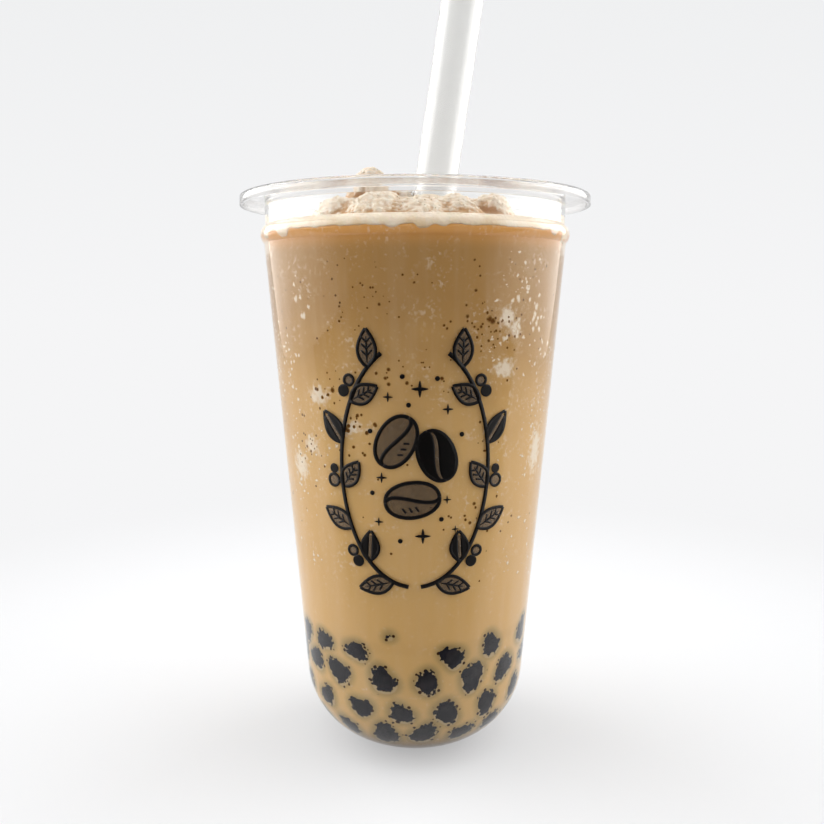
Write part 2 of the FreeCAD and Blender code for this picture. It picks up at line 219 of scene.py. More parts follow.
@dataclass(frozen=True)
class ClearCup(Finish):
    """Clear polypropylene, injection moulded: glossy, with faint waves where the melt flowed."""

    name: str = "polypropylene_clear_moulded"
    colour: str = "#FCFCFB"
    lamp_tint: str = "#FBFBFA"
    index: float = 1.49
    roughness: float = 0.03
    haze: float = 0.03
    wave_mm: float = 9.0
    wave_deep_mm: float = 0.2
    rim_colour: str = "#FBFAF9"
    rim_milk: float = 0.05
    rim_roughness: float = 0.03
    rim_low_mm: float = 149.2
    rim_high_mm: float = 152.0
    rim_fade_mm: float = 0.2
    rim_round: float = 300.0

    def rim_bow(self, tree: Tree, height: Socket) -> Socket:
        """Height of a bow across the rim's skirt, which is drawn as if rolled outwards.

        Args:
            tree: The material's node tree.
            height: How high the surface lies.

        Returns:
            The socket that gives the bow, in metres.
        """
        half = (self.rim_high_mm - self.rim_low_mm) / 2
        joins = {"Value": height, "From Min": self.rim_low_mm * MM, "From Max": self.rim_high_mm * MM,
                 "To Min": -half * MM, "To Max": half * MM}
        off = add_node(tree, "MapRange", joins).outputs["Result"]
        square = add_node(tree, "Math", {0: off, 1: off}, operation="MULTIPLY").outputs[0]
        return add_node(tree, "Math", {0: square, 1: -self.rim_round}, operation="MULTIPLY").outputs[0]

    def make(self) -> bpy.types.Material:
        """Bright lines where the rim and bead bend, a milkier rim, and haze that differs over the wall.

        Returns:
            The material.
        """
        material, tree = self.start()
        place = add_node(tree, "TexCoord").outputs["Object"]
        height = add_node(tree, "SeparateXYZ", {0: place}).outputs["Z"]
        joins = {"Value": height, "From Min": (self.rim_low_mm - self.rim_fade_mm) * MM,
                 "From Max": (self.rim_low_mm + self.rim_fade_mm) * MM}
        rim = add_node(tree, "MapRange", joins, interpolation_type="SMOOTHSTEP").outputs["Result"]
        waves = self.grain(tree, self.wave_mm)
        spread = {"Value": waves, "To Min": self.roughness, "To Max": self.roughness + self.haze}
        hazed = add_node(tree, "MapRange", spread).outputs["Result"]
        joins = {0: rim, 1: self.rim_roughness, 2: hazed}
        rough = add_node(tree, "Math", joins, operation="MULTIPLY_ADD").outputs[0]
        joins = {0: rim, 1: -self.rim_milk, 2: 1.0}
        clear = add_node(tree, "Math", joins, operation="MULTIPLY_ADD").outputs[0]
        joins = {"Height": self.rim_bow(tree, height), "Strength": 1.0, "Distance": 1.0}
        bow = add_node(tree, "Bump", joins).outputs[0]
        joins = {"Height": waves, "Strength": 0.08, "Distance": self.wave_deep_mm * MM, "Normal": bow}
        bump = add_node(tree, "Bump", joins)
        hues = {0: rim, 6: linear(self.colour), 7: linear(self.rim_colour)}
        joins = {
            "Base Color": add_node(tree, "Mix", hues, data_type="RGBA").outputs[2],
            "Roughness": rough,
            "IOR": self.index,
            "Transmission Weight": clear,
            "Normal": bump.outputs[0],
        }
        wall = add_node(tree, "BsdfPrincipled", joins).outputs[0]
        self.end(tree, self.through_for_lamps(tree, wall, self.lamp_tint))
        return material


@dataclass(frozen=True)
class TranslucentStraw(Finish):
    """Natural polypropylene, extruded: milky and see-through, with fine lines drawn along its length."""

    name: str = "polypropylene_translucent_extruded"
    colour: str = "#F7F7F6"
    lamp_tint: str = "#E4E2E0"
    index: float = 1.49
    roughness: float = 0.12
    clearness: float = 0.9
    line_mm: float = 0.7  # a die draws lines of about 0.1 mm: these are coarser, so that they show
    line_stretch: float = 0.03
    line_deep_mm: float = 0.05

    def make(self) -> bpy.types.Material:
        """Pale grey body with brighter edges, and a soft shine that runs down the straw.

        Returns:
            The material.
        """
        material, tree = self.start()
        place = add_node(tree, "TexCoord").outputs["Object"]
        joins = {"Vector": place, "Scale": (1.0, 1.0, self.line_stretch)}
        along = add_node(tree, "Mapping", joins).outputs[0]
        lines = add_node(tree, "TexNoise", {"Vector": along, "Scale": per_size(self.line_mm)}).outputs["Fac"]
        spread = {"Value": lines, "To Min": self.roughness, "To Max": 2 * self.roughness}
        rough = add_node(tree, "MapRange", spread).outputs["Result"]
        bump = add_node(tree, "Bump", {"Height": lines, "Strength": 0.15, "Distance": self.line_deep_mm * MM})
        joins = {
            "Base Color": linear(self.colour),
            "Roughness": rough,
            "IOR": self.index,
            "Transmission Weight": self.clearness,
            "Normal": bump.outputs[0],
        }
        milky = add_node(tree, "BsdfPrincipled", joins).outputs[0]
        self.end(tree, self.through_for_lamps(tree, milky, self.lamp_tint))
        return material


@dataclass(frozen=True)
class MilkCoffee(Finish):
    """Blended coffee, milk and ice: an opaque liquid whose shade drifts, paler where ice lies at the wall,
    with painted shade towards the top and at the bottom.
    """

    name: str = "milk_coffee_blended"
    colour: str = "#DBB67A"
    # painted shade: the colour that the liquid takes towards the top
    deep: str = "#B9925B"
    caramel: str = "#E2A964"
    # painted shade at the bottom of the drink
    bottom_shade: str = "#6E573F"
    froth: str = "#F1E6D4"
    pearl: str = "#1E1D26"
    olive: str = "#6F6C4C"
    crescent: str = "#D9C6A4"
    speck: str = "#38200F"
    roughness: float = 0.3
    index: float = 1.11  # milk at 1.34 against the polypropylene that it wets at 1.49
    level_mm: float = 141.8
    # heights between which the painted shade towards the top sets in
    pale_below_mm: float = 84.0
    deep_above_mm: float = 130.0
    cloud_mm: float = 22.0
    drift_mm: float = 40.0
    caramel_depth_mm: float = 6.0
    # heights at which the painted shade at the bottom sets in and is full
    bottom_shade_from_mm: float = 11.0
    bottom_shade_full_mm: float = 3.0
    frost_clouds: tuple[Point, ...] = ((1.1, 2.0, 0.52), (8.0, 3.0, 0.47))
    frost_high: float = 0.7
    frost_from_mm: float = 44.0
    frost_full_mm: float = 56.0
    frost_cover: float = 0.42
    streak_mm: float = 3.5
    streak_stretch: float = 0.07
    streak_cover: float = 0.07
    froth_cover: float = 0.88
    broken_mm: float = 1.3
    halo_mm: float = 2.8
    halo_cover: float = 0.55
    crescent_mm: float = 0.35
    crescent_cover: float = 0.38
    speck_mm: float = 1.7
    speck_from_mm: float = 1.9
    speck_full_mm: float = 0.5
    ripple_mm: float = 1.2

    def shade(self, tree: Tree, height: Socket) -> Socket:
        """Colour of the liquid, with painted shade that deepens it towards the top, and like caramel just
        under the foam.

        Args:
            tree: The material's node tree.
            height: How high the surface lies.

        Returns:
            The socket that gives the colour.
        """
        wandering = self.wander(tree, height, self.cloud_mm, self.drift_mm * MM, 3.0)
        span = (self.pale_below_mm * MM, self.deep_above_mm * MM)
        # painted shade: deeper towards the top
        body = self.layer(tree, linear(self.colour), self.deep, wandering, span)
        span = ((self.level_mm - self.caramel_depth_mm) * MM, self.level_mm * MM)
        return self.layer(tree, body, self.caramel, height, span)

    def with_frost(self, tree: Tree, colour: Socket, height: Socket) -> Socket:
        """Add the fine ice that lies in drifts above the pearls.

        Args:
            tree: The material's node tree.
            colour: The liquid's colour.
            height: How high the surface lies.

        Returns:
            The socket that gives the colour with its frost.
        """
        amount = self.frost_cover
        for size, detail, low in self.frost_clouds:
            clouds = self.grain(tree, size, detail)
            joins = {"Value": clouds, "From Min": low, "From Max": self.frost_high, "To Max": amount}
            amount = add_node(tree, "MapRange", joins, interpolation_type="SMOOTHSTEP").outputs["Result"]
        span = (self.frost_from_mm * MM, self.frost_full_mm * MM)
        return self.layer(tree, colour, self.froth, height, span, amount)

    def with_streaks(self, tree: Tree, colour: Socket, place: Socket) -> Socket:
        """Add the faint streaks that melting ice draws down the wall.

        Args:
            tree: The material's node tree.
            colour: The colour before.
            place: The place in the object.

        Returns:
            The socket that gives the streaked colour.
        """
        joins = {"Vector": place, "Scale": (1.0, 1.0, self.streak_stretch)}
        down = add_node(tree, "Mapping", joins).outputs[0]
        joins = {"Vector": down, "Scale": per_size(self.streak_mm), "Detail": 3.0}
        lines = add_node(tree, "TexNoise", joins).outputs["Fac"]
        return self.layer(tree, colour, self.froth, lines, (0.4, 0.75), self.streak_cover)

    def with_froth(self, tree: Tree, colour: Socket) -> Socket:
        """Add the icy froth that lies against the wall, with a broken edge.

        Args:
            tree: The material's node tree.
            colour: The liquid's colour.

        Returns:
            The socket that gives the colour with its froth.
        """
        amount = add_node(tree, "Attribute", attribute_name=Mark.FROTH.value).outputs["Fac"]
        edge = self.wander(tree, amount, self.broken_mm, 1.6, 3.0)
        return self.layer(tree, colour, self.froth, edge, (0.15, 0.85), self.froth_cover)

    def with_pearls(self, tree: Tree, colour: Socket) -> Socket:
        """Add what shows of the pearls through the film of milk between them and the wall.

        A dull halo surrounds each contact, a pale crescent lies under it, crumbs cling to it, and the contact
        itself is dark with a ragged edge.

        Args:
            tree: The material's node tree.
            colour: The liquid's colour.

        Returns:
            The socket that gives the colour with the pearls in it.
        """
        gap = add_node(tree, "Attribute", attribute_name=Mark.PEARL_GAP.value).outputs["Fac"]
        below = add_node(tree, "Attribute", attribute_name=Mark.UNDER_PEARL.value).outputs["Fac"]
        ragged = self.wander(tree, gap, self.broken_mm, 4.2, 4.0)
        colour = self.layer(tree, colour, self.olive, gap, (self.halo_mm, -0.2), self.halo_cover)
        colour = self.layer(tree, colour, self.crescent, below, (self.crescent_mm, -0.1), self.crescent_cover)
        colour = self.with_specks(tree, colour, gap)
        return self.layer(tree, colour, self.pearl, ragged, (0.12, -0.12))

    def with_specks(self, tree: Tree, colour: Socket, gap: Socket) -> Socket:
        """Add the brown crumbs of tapioca that cling round each pearl.

        Args:
            tree: The material's node tree.
            colour: The colour before.
            gap: How far the surface is from the nearest contact, in millimetres.

        Returns:
            The socket that gives the colour with crumbs.
        """
        place = add_node(tree, "TexCoord").outputs["Object"]
        cells = add_node(tree, "TexVoronoi", {"Vector": place, "Scale": per_size(self.speck_mm)})
        joins = {"Value": gap, "From Min": self.speck_from_mm, "From Max": self.speck_full_mm, "To Max": 0.3}
        size = add_node(tree, "MapRange", joins, interpolation_type="SMOOTHSTEP").outputs["Result"]
        joins = {0: cells.outputs["Distance"], 1: size}
        inside = add_node(tree, "Math", joins, operation="SUBTRACT").outputs[0]
        return self.layer(tree, colour, self.speck, inside, (0.03, -0.03))

    def make(self) -> bpy.types.Material:
        """Tan and slightly glossy where it wets the wall.

        Returns:
            The material.
        """
        material, tree = self.start()
        place = add_node(tree, "TexCoord").outputs["Object"]
        height = add_node(tree, "SeparateXYZ", {0: place}).outputs["Z"]
        colour = self.with_frost(tree, self.shade(tree, height), height)
        colour = self.with_streaks(tree, colour, place)
        # painted shade: darker in the lowest millimetres of the drink
        span = (self.bottom_shade_from_mm * MM, self.bottom_shade_full_mm * MM)
        colour = self.layer(tree, colour, self.bottom_shade, height, span)
        colour = self.with_pearls(tree, self.with_froth(tree, colour))
        joins = {"Height": self.grain(tree, self.ripple_mm), "Strength": 0.1, "Distance": 0.1 * MM}
        bump = add_node(tree, "Bump", joins)
        joins = {
            "Base Color": colour,
            "Roughness": self.roughness,
            "IOR": self.index,
            "Normal": bump.outputs[0],
        }
        self.end(tree, add_node(tree, "BsdfPrincipled", joins).outputs[0])
        return material


@dataclass(frozen=True)
class MilkFoam(Finish):
    """Whipped milk foam, poured: cream-coloured and matt, pitted by burst bubbles."""

    name: str = "milk_foam_whipped"
    colour: str = "#ECDFCC"
    damp: str = "#DCC196"
    roughness: float = 0.6
    bubble_mm: float = 0.9  # most real bubbles are under 0.3 mm: these are coarser, so that they show
    pit_deep_mm: float = 0.25
    patch_mm: float = 5.0

    def make(self) -> bpy.types.Material:
        """Soft cream that darkens in patches where the drink has soaked up into it.

        Returns:
            The material.
        """
        material, tree = self.start()
        soaked = add_node(tree, "Attribute", attribute_name=Mark.SHADE.value).outputs["Fac"]
        share = self.wander(tree, soaked, self.patch_mm, 1.2)
        place = add_node(tree, "TexCoord").outputs["Object"]
        cells = add_node(tree, "TexVoronoi", {"Vector": place, "Scale": per_size(self.bubble_mm)})
        joins = {"Height": cells.outputs["Distance"], "Strength": 0.5, "Distance": self.pit_deep_mm * MM}
        bump = add_node(tree, "Bump", joins)
        joins = {
            "Base Color": self.layer(tree, linear(self.colour), self.damp, share, (0.1, 0.9)),
            "Roughness": self.roughness,
            "Subsurface Weight": 0.3,
            "Subsurface Radius": (3 * MM, 2 * MM, 1.2 * MM),
            "Subsurface Scale": 1.0,
            "Normal": bump.outputs[0],
        }
        self.end(tree, add_node(tree, "BsdfPrincipled", joins).outputs[0])
        return material


@dataclass(frozen=True)
class BlendedIce(Finish):
    """Ice crushed in a blender with coffee and milk: pale wet grains with brown liquid in the pockets, and
    painted shade in the hollows.
    """

    name: str = "blended_ice_slush"
    colour: str = "#E6D4BD"
    frost: str = "#F0E5D5"
    # colour of liquid in the pockets and of painted shade in the hollows
    pocket_and_shade: str = "#C29767"
    roughness: float = 0.42
    index: float = 1.31
    grain_mm: float = 1.1
    crystal_mm: float = 0.6  # crystals of about 0.3 mm, drawn coarser, so that they show
    crystal_deep_mm: float = 0.3

    def make(self) -> bpy.types.Material:
        """Grainy beige, with painted light on the crests, painted shade and brown liquid in the hollows, and
        small wet glints.

        Returns:
            The material.
        """
        material, tree = self.start()
        deep = add_node(tree, "Attribute", attribute_name=Mark.SHADE.value).outputs["Fac"]
        specks = self.grain(tree, self.grain_mm, 3.0)
        frosted = self.layer(tree, linear(self.colour), self.frost, specks, (0.4, 0.65))
        # browner where liquid lies and where shade is painted into hollows, paler on crests as painted light
        joins = {0: specks, 1: -0.6, 2: deep}
        share = add_node(tree, "Math", joins, operation="MULTIPLY_ADD").outputs[0]
        joins = {"Height": self.grain(tree, self.crystal_mm, 3.0), "Strength": 0.5,
                 "Distance": self.crystal_deep_mm * MM}
        bump = add_node(tree, "Bump", joins)
        joins = {
            "Base Color": self.layer(tree, frosted, self.pocket_and_shade, share, (-0.05, 0.6)),
            "Roughness": self.roughness,
            "IOR": self.index,
            "Subsurface Weight": 0.25,
            "Subsurface Radius": (3 * MM, 2.2 * MM, 1.5 * MM),
            "Subsurface Scale": 1.0,
            "Normal": bump.outputs[0],
        }
        self.end(tree, add_node(tree, "BsdfPrincipled", joins).outputs[0])
        return material


@dataclass(frozen=True)
class CookedTapioca(Finish):
    """Tapioca boiled in brown sugar: nearly black, smooth and sticky, a little lighter at its skin."""

    name: str = "tapioca_boiled"
    colour: str = "#17161D"
    skin: str = "#2B272B"
    roughness: float = 0.22
    index: float = 1.11  # cooked starch against the wall that it presses on
    mottle_mm: float = 2.5
    dimple_mm: float = 0.8

    def make(self) -> bpy.types.Material:
        """Dark gloss with a faint mottle.

        Returns:
            The material.
        """
        material, tree = self.start()
        mottle = self.grain(tree, self.mottle_mm, 3.0)
        joins = {"Height": self.grain(tree, self.dimple_mm), "Strength": 0.1, "Distance": 0.1 * MM}
        bump = add_node(tree, "Bump", joins)
        joins = {
            "Base Color": self.layer(tree, linear(self.colour), self.skin, mottle, (0.35, 0.7)),
            "Roughness": self.roughness,
            "IOR": self.index,
            "Normal": bump.outputs[0],
        }
        self.end(tree, add_node(tree, "BsdfPrincipled", joins).outputs[0])
        return material


@dataclass(frozen=True)
class WallSpot(Finish):
    """Trapped air or crushed ice, pressed flat in the liquid at the wall, with an edge of another tone."""

    name: str
    middle: str
    rim: str
    roughness: float
    index: float = 1.11  # against the wall, as the liquid round it
    drift_mm: float = 1.0

    def make(self) -> bpy.types.Material:
        """Soft ring of the rim's colour round the middle.

        Returns:
            The material.
        """
        material, tree = self.start()
        edge = add_node(tree, "Attribute", attribute_name=Mark.EDGE.value).outputs["Fac"]
        share = self.wander(tree, edge, self.drift_mm, 0.5)
        colour = self.layer(tree, linear(self.middle), self.rim, share, (0.35, 0.9))
        joins = {"Base Color": colour, "Roughness": self.roughness, "IOR": self.index}
        self.end(tree, add_node(tree, "BsdfPrincipled", joins).outputs[0])
        return material


@dataclass(frozen=True)
class ScreenInk(Finish):
    """Black ink, screen printed and cured: dull, with a slightly uneven film."""

    name: str = "ink_black_screen_printed"
    colour: str = "#0A0504"
    thin: str = "#1A0E0B"
    roughness: float = 0.6
    index: float = 1.4
    mottle_mm: float = 1.4

    def make(self) -> bpy.types.Material:
        """Crisp black that turns brown where the film is thin.

        Returns:
            The material.
        """
        material, tree = self.start()
        mottle = self.grain(tree, self.mottle_mm)
        joins = {
            "Base Color": self.layer(tree, linear(self.colour), self.thin, mottle, (0.5, 0.8)),
            "Roughness": self.roughness,
            "IOR": self.index,
        }
        self.end(tree, add_node(tree, "BsdfPrincipled", joins).outputs[0])
        return material


@dataclass(frozen=True)
class ScreenTint(Finish):
    """Thin grey ink, screen printed: a veil that lets most of the drink's colour through."""

    name: str = "ink_grey_screen_printed"
    colour: str = "#A4917E"
    roughness: float = 0.5
    cover: float = 0.45
    uneven: float = 0.08
    mottle_mm: float = 1.2

    def make(self) -> bpy.types.Material:
        """Greyer and flatter inside the printed outlines.

        Returns:
            The material.
        """
        material, tree = self.start()
        veil = self.grain(tree, self.mottle_mm)
        spread = {"Value": veil, "To Min": self.cover - self.uneven, "To Max": self.cover + self.uneven}
        share = add_node(tree, "MapRange", spread).outputs["Result"]
        joins = {"Base Color": linear(self.colour), "Roughness": self.roughness}
        ink = add_node(tree, "BsdfPrincipled", joins).outputs[0]
        clear = add_node(tree, "BsdfTransparent").outputs[0]
        self.end(tree, add_node(tree, "MixShader", {0: share, 1: clear, 2: ink}).outputs[0])
        return material


def make_piece(name: str, points: np.ndarray, faces: Sequence[Face], finish: Finish) -> bpy.types.Object:
    """Make one mesh piece of the drink and hang it under the root body.

    Args:
        name: The piece's name.
        points: Its vertices in metres, one row each.
        faces: The vertex numbers of each face.
        finish: What it is made of.

    Returns:
        The new object.
    """
    mesh = bpy.data.meshes.new(name)
    mesh.from_pydata(points.tolist(), [], [list(face) for face in faces])
    mesh.polygons.foreach_set("use_smooth", [True] * len(mesh.polygons))
    mesh.materials.append(finish.make())
    piece = bpy.data.objects.new(name, mesh)
    bpy.context.scene.collection.objects.link(piece)
    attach(piece, "root")
    log.info("%s: %d vertices, %d faces", name, len(mesh.vertices), len(mesh.polygons))
    return piece


def set_mark(piece: bpy.types.Object, mark: Mark, values: Sequence[float] | np.ndarray) -> None:
    """Store one number at each vertex of a piece."""
    attribute = piece.data.attributes.new(mark.value, "FLOAT", "POINT")
    attribute.data.foreach_set("value", np.asarray(values, np.float32))


def grid_faces(rows: int, columns: int, first: int = 0, closed: bool = True) -> list[Face]:
    """Quads between rows of vertices.

    Args:
        rows: How many rows there are.
        columns: How many vertices each row has.
        first: The number of the first vertex.
        closed: Whether the last column joins the first.

    Returns:
        The vertex numbers of each quad.
    """
    spans = columns if closed else columns - 1
    quads = []
    for row in range(rows - 1):
        low, high = first + row * columns, first + (row + 1) * columns
        for column in range(spans):
            after = (column + 1) % columns
            quads.append((low + column, low + after, high + after, high + column))
    return quads


def fan_faces(tip: int, ring: int, columns: int, flip: bool = False) -> list[Face]:
    """Triangles between a point and a ring of vertices.

    Args:
        tip: The number of the point.
        ring: The number of the ring's first vertex.
        columns: How many vertices the ring has.
        flip: Whether the triangles face the other way.

    Returns:
        The vertex numbers of each triangle.
    """
    faces = []
    for column in range(columns):
        after = (column + 1) % columns
        faces.append((tip, ring + after, ring + column) if flip else (tip, ring + column, ring + after))
    return faces


def ball_faces(rows: int, columns: int) -> list[Face]:
    """Faces of a closed skin: rings of vertices one above the other, with a point at each end.

    Args:
        rows: How many rings there are.
        columns: How many vertices each ring has.

    Returns:
        The vertex numbers of each face, with the first point as number 0 and the last one after the rings.
    """
    last = 1 + rows * columns
    quads = grid_faces(rows, columns, first=1)
    return quads + fan_faces(0, 1, columns, flip=True) + fan_faces(last, last - columns, columns)


def rough_noise(point: Vector, size_mm: float, seed: float = 0.0) -> float:
    """Smooth random value from about -1 to 1 that changes over a size in millimetres."""
    return noise.noise(point / (size_mm * MM) + Vector((seed, 1.7 * seed, -seed)))


def waves(point: Vector, kinds: Sequence[Point]) -> float:
    """Sum of smooth waves, each given by its size and its height in millimetres and its seed."""
    return sum(high * rough_noise(point, size, seed) for size, high, seed in kinds)


def joined(parts: Sequence[Skin]) -> Skin:
    """Join many small meshes into one.

    Args:
        parts: The vertices and faces of each.

    Returns:
        All the vertices, and all the faces numbered to match.
    """
    points, faces, count = [], [], 0
    for own_points, own_faces in parts:
        points.append(own_points)
        faces.extend(tuple(count + number for number in face) for face in own_faces)
        count += len(own_points)
    return np.concatenate(points), faces


@dataclass
class Bore:
    """The cup's inside, felt out from its axis, and the cup's outside."""

    reach_in: float = 0.25
    turn_height: float = 26.0
    floor_steps: int = 40
    level: float = field(init=False)
    tree: BVHTree = field(init=False)

    def __post_init__(self) -> None:
        """Make the cup's mesh ready to be felt."""
        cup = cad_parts["cup"].data
        self.tree = BVHTree.FromPolygons([v.co for v in cup.vertices], [p.vertices for p in cup.polygons])
        self.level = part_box("drink")[1].z / MM

    def inside(self, height: float) -> float:
        """Radius of the cup's inside at a height, both in millimetres."""
        hit = self.tree.ray_cast(Vector((0, 0, height * MM)), Vector((1, 0, 0)))[0]
        return hit.x / MM

    def outside(self, height: float) -> float:
        """Radius of the cup's outside at a height, both in millimetres."""
        hit = self.tree.ray_cast(Vector((0.1, 0, height * MM)), Vector((-1, 0, 0)))[0]
        return hit.x / MM

    def profile(self, steps: Sequence[float]) -> list[Flat]:
        """Half-section of what fills the cup, reaching just into its wall.

        Args:
            steps: The heights of the points above the round bottom, in millimetres.

        Returns:
            Distance from the axis and height of each point, from the middle of the floor up.
        """
        centre = Vector((0, 0, self.turn_height * MM))
        line = []
        for step in range(self.floor_steps + 1):
            angle = math.pi / 2 * step / self.floor_steps
            way = Vector((math.sin(angle), 0, -math.cos(angle)))
            hit = self.tree.ray_cast(centre, way)[0] + way * self.reach_in * MM
            line.append((hit.x / MM, hit.z / MM))
        line.extend((self.inside(height) + self.reach_in, height) for height in steps)
        return line


def on_turn(turn: float, radius: float, height: float) -> Vector:
    """Point round the cup's axis.

    Args:
        turn: Degrees round the cup from the drinker's side, positive to the right.
        radius: Millimetres from the axis.
        height: Millimetres above the surface that the cup stands on.

    Returns:
        The point in metres.
    """
    angle = math.radians(turn)
    return Vector((radius * math.sin(angle), -radius * math.cos(angle), height)) * MM


def on_ball(down: float, around: float) -> Vector:
    """Point of a ball one unit in radius, by its angle from the top and its angle round the axis."""
    return Vector((math.sin(down) * math.cos(around), math.sin(down) * math.sin(around), math.cos(down)))


@dataclass(frozen=True)
class Spot:
    """A place on the side of the drink: degrees round from the drinker, height and reach in millimetres."""

    turn: float
    height: float
    wide: float
    tall: float


@dataclass
class StrawLine:
    """Where the straw runs, worked out from its upper end."""

    rod_columns: int = 64
    rod_reach: float = 0.3
    radius: float = field(init=False)
    end: Vector = field(init=False)
    way: Vector = field(init=False)

    def __post_init__(self) -> None:
        """Fit the upper end's centre and the straw's direction."""
        corners = np.array([v.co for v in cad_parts["straw"].data.vertices])
        ring = corners[corners[:, 2] > 0.5 * (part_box("straw")[1].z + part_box("cup")[1].z)]
        centre = ring.mean(axis=0)
        normal = np.linalg.svd(ring - centre)[2][2]
        self.way = Vector(normal if normal[2] > 0 else -normal)
        self.end = Vector(centre)
        self.radius = float(np.linalg.norm(ring - centre, axis=1).max()) / MM

    def clear(self, point: Vector, gap: float) -> Vector:
        """Move a point out of the straw if it lies in it.

        Args:
            point: The point in metres.
            gap: Millimetres that it has to keep from the straw's axis.

        Returns:
            The point, moved away from the axis where it was too near.
        """
        foot = self.end + self.way * (point - self.end).dot(self.way)
        side = point - foot
        if side.length >= gap * MM or side.length < 1e-9:
            return point
        return foot + side.normalized() * gap * MM

    def rod(self, extra: float) -> bpy.types.Object:
        """A full rod along the straw that other pieces are cut with.

        Args:
            extra: Millimetres that it is wider than the straw, each side.

        Returns:
            A hidden object, to be removed after its use.
        """
        turn = self.way.to_track_quat("Z", "Y").to_matrix().to_4x4()
        points = []
        across = (self.radius + extra) * MM
        for end in (-self.rod_reach, self.rod_reach / 4):
            for column in range(self.rod_columns):
                angle = 2 * math.pi * column / self.rod_columns
                local = Vector((across * math.cos(angle), across * math.sin(angle), end))
                points.append(self.end + turn @ local)
        low, high = range(self.rod_columns), range(self.rod_columns, 2 * self.rod_columns)
        faces = [*grid_faces(2, self.rod_columns), tuple(reversed(low)), tuple(high)]
        mesh = bpy.data.meshes.new("rod")
        mesh.from_pydata([list(point) for point in points], [], faces)
        rod = bpy.data.objects.new("rod", mesh)
        bpy.context.scene.collection.objects.link(rod)
        return rod


def cut_with(piece: bpy.types.Object, cutter: bpy.types.Object) -> None:
    """Take the shape of one object out of a piece for good.

    Args:
        piece: The piece that is cut.
        cutter: The object that it is cut with, which stays as it is.
    """
    cut = piece.modifiers.new("cut", "BOOLEAN")
    cut.operation = "DIFFERENCE"
    cut.solver = "EXACT"
    cut.object = cutter
    settle(piece)


def settle(piece: bpy.types.Object) -> None:
    """Turn a piece's modifiers into plain mesh.

    Args:
        piece: The piece, which keeps its name and its finish.
    """
    shapes = bpy.context.evaluated_depsgraph_get()
    shapes.update()
    solid = bpy.data.meshes.new_from_object(piece.evaluated_get(shapes))
    piece.modifiers.clear()
    piece.data = solid


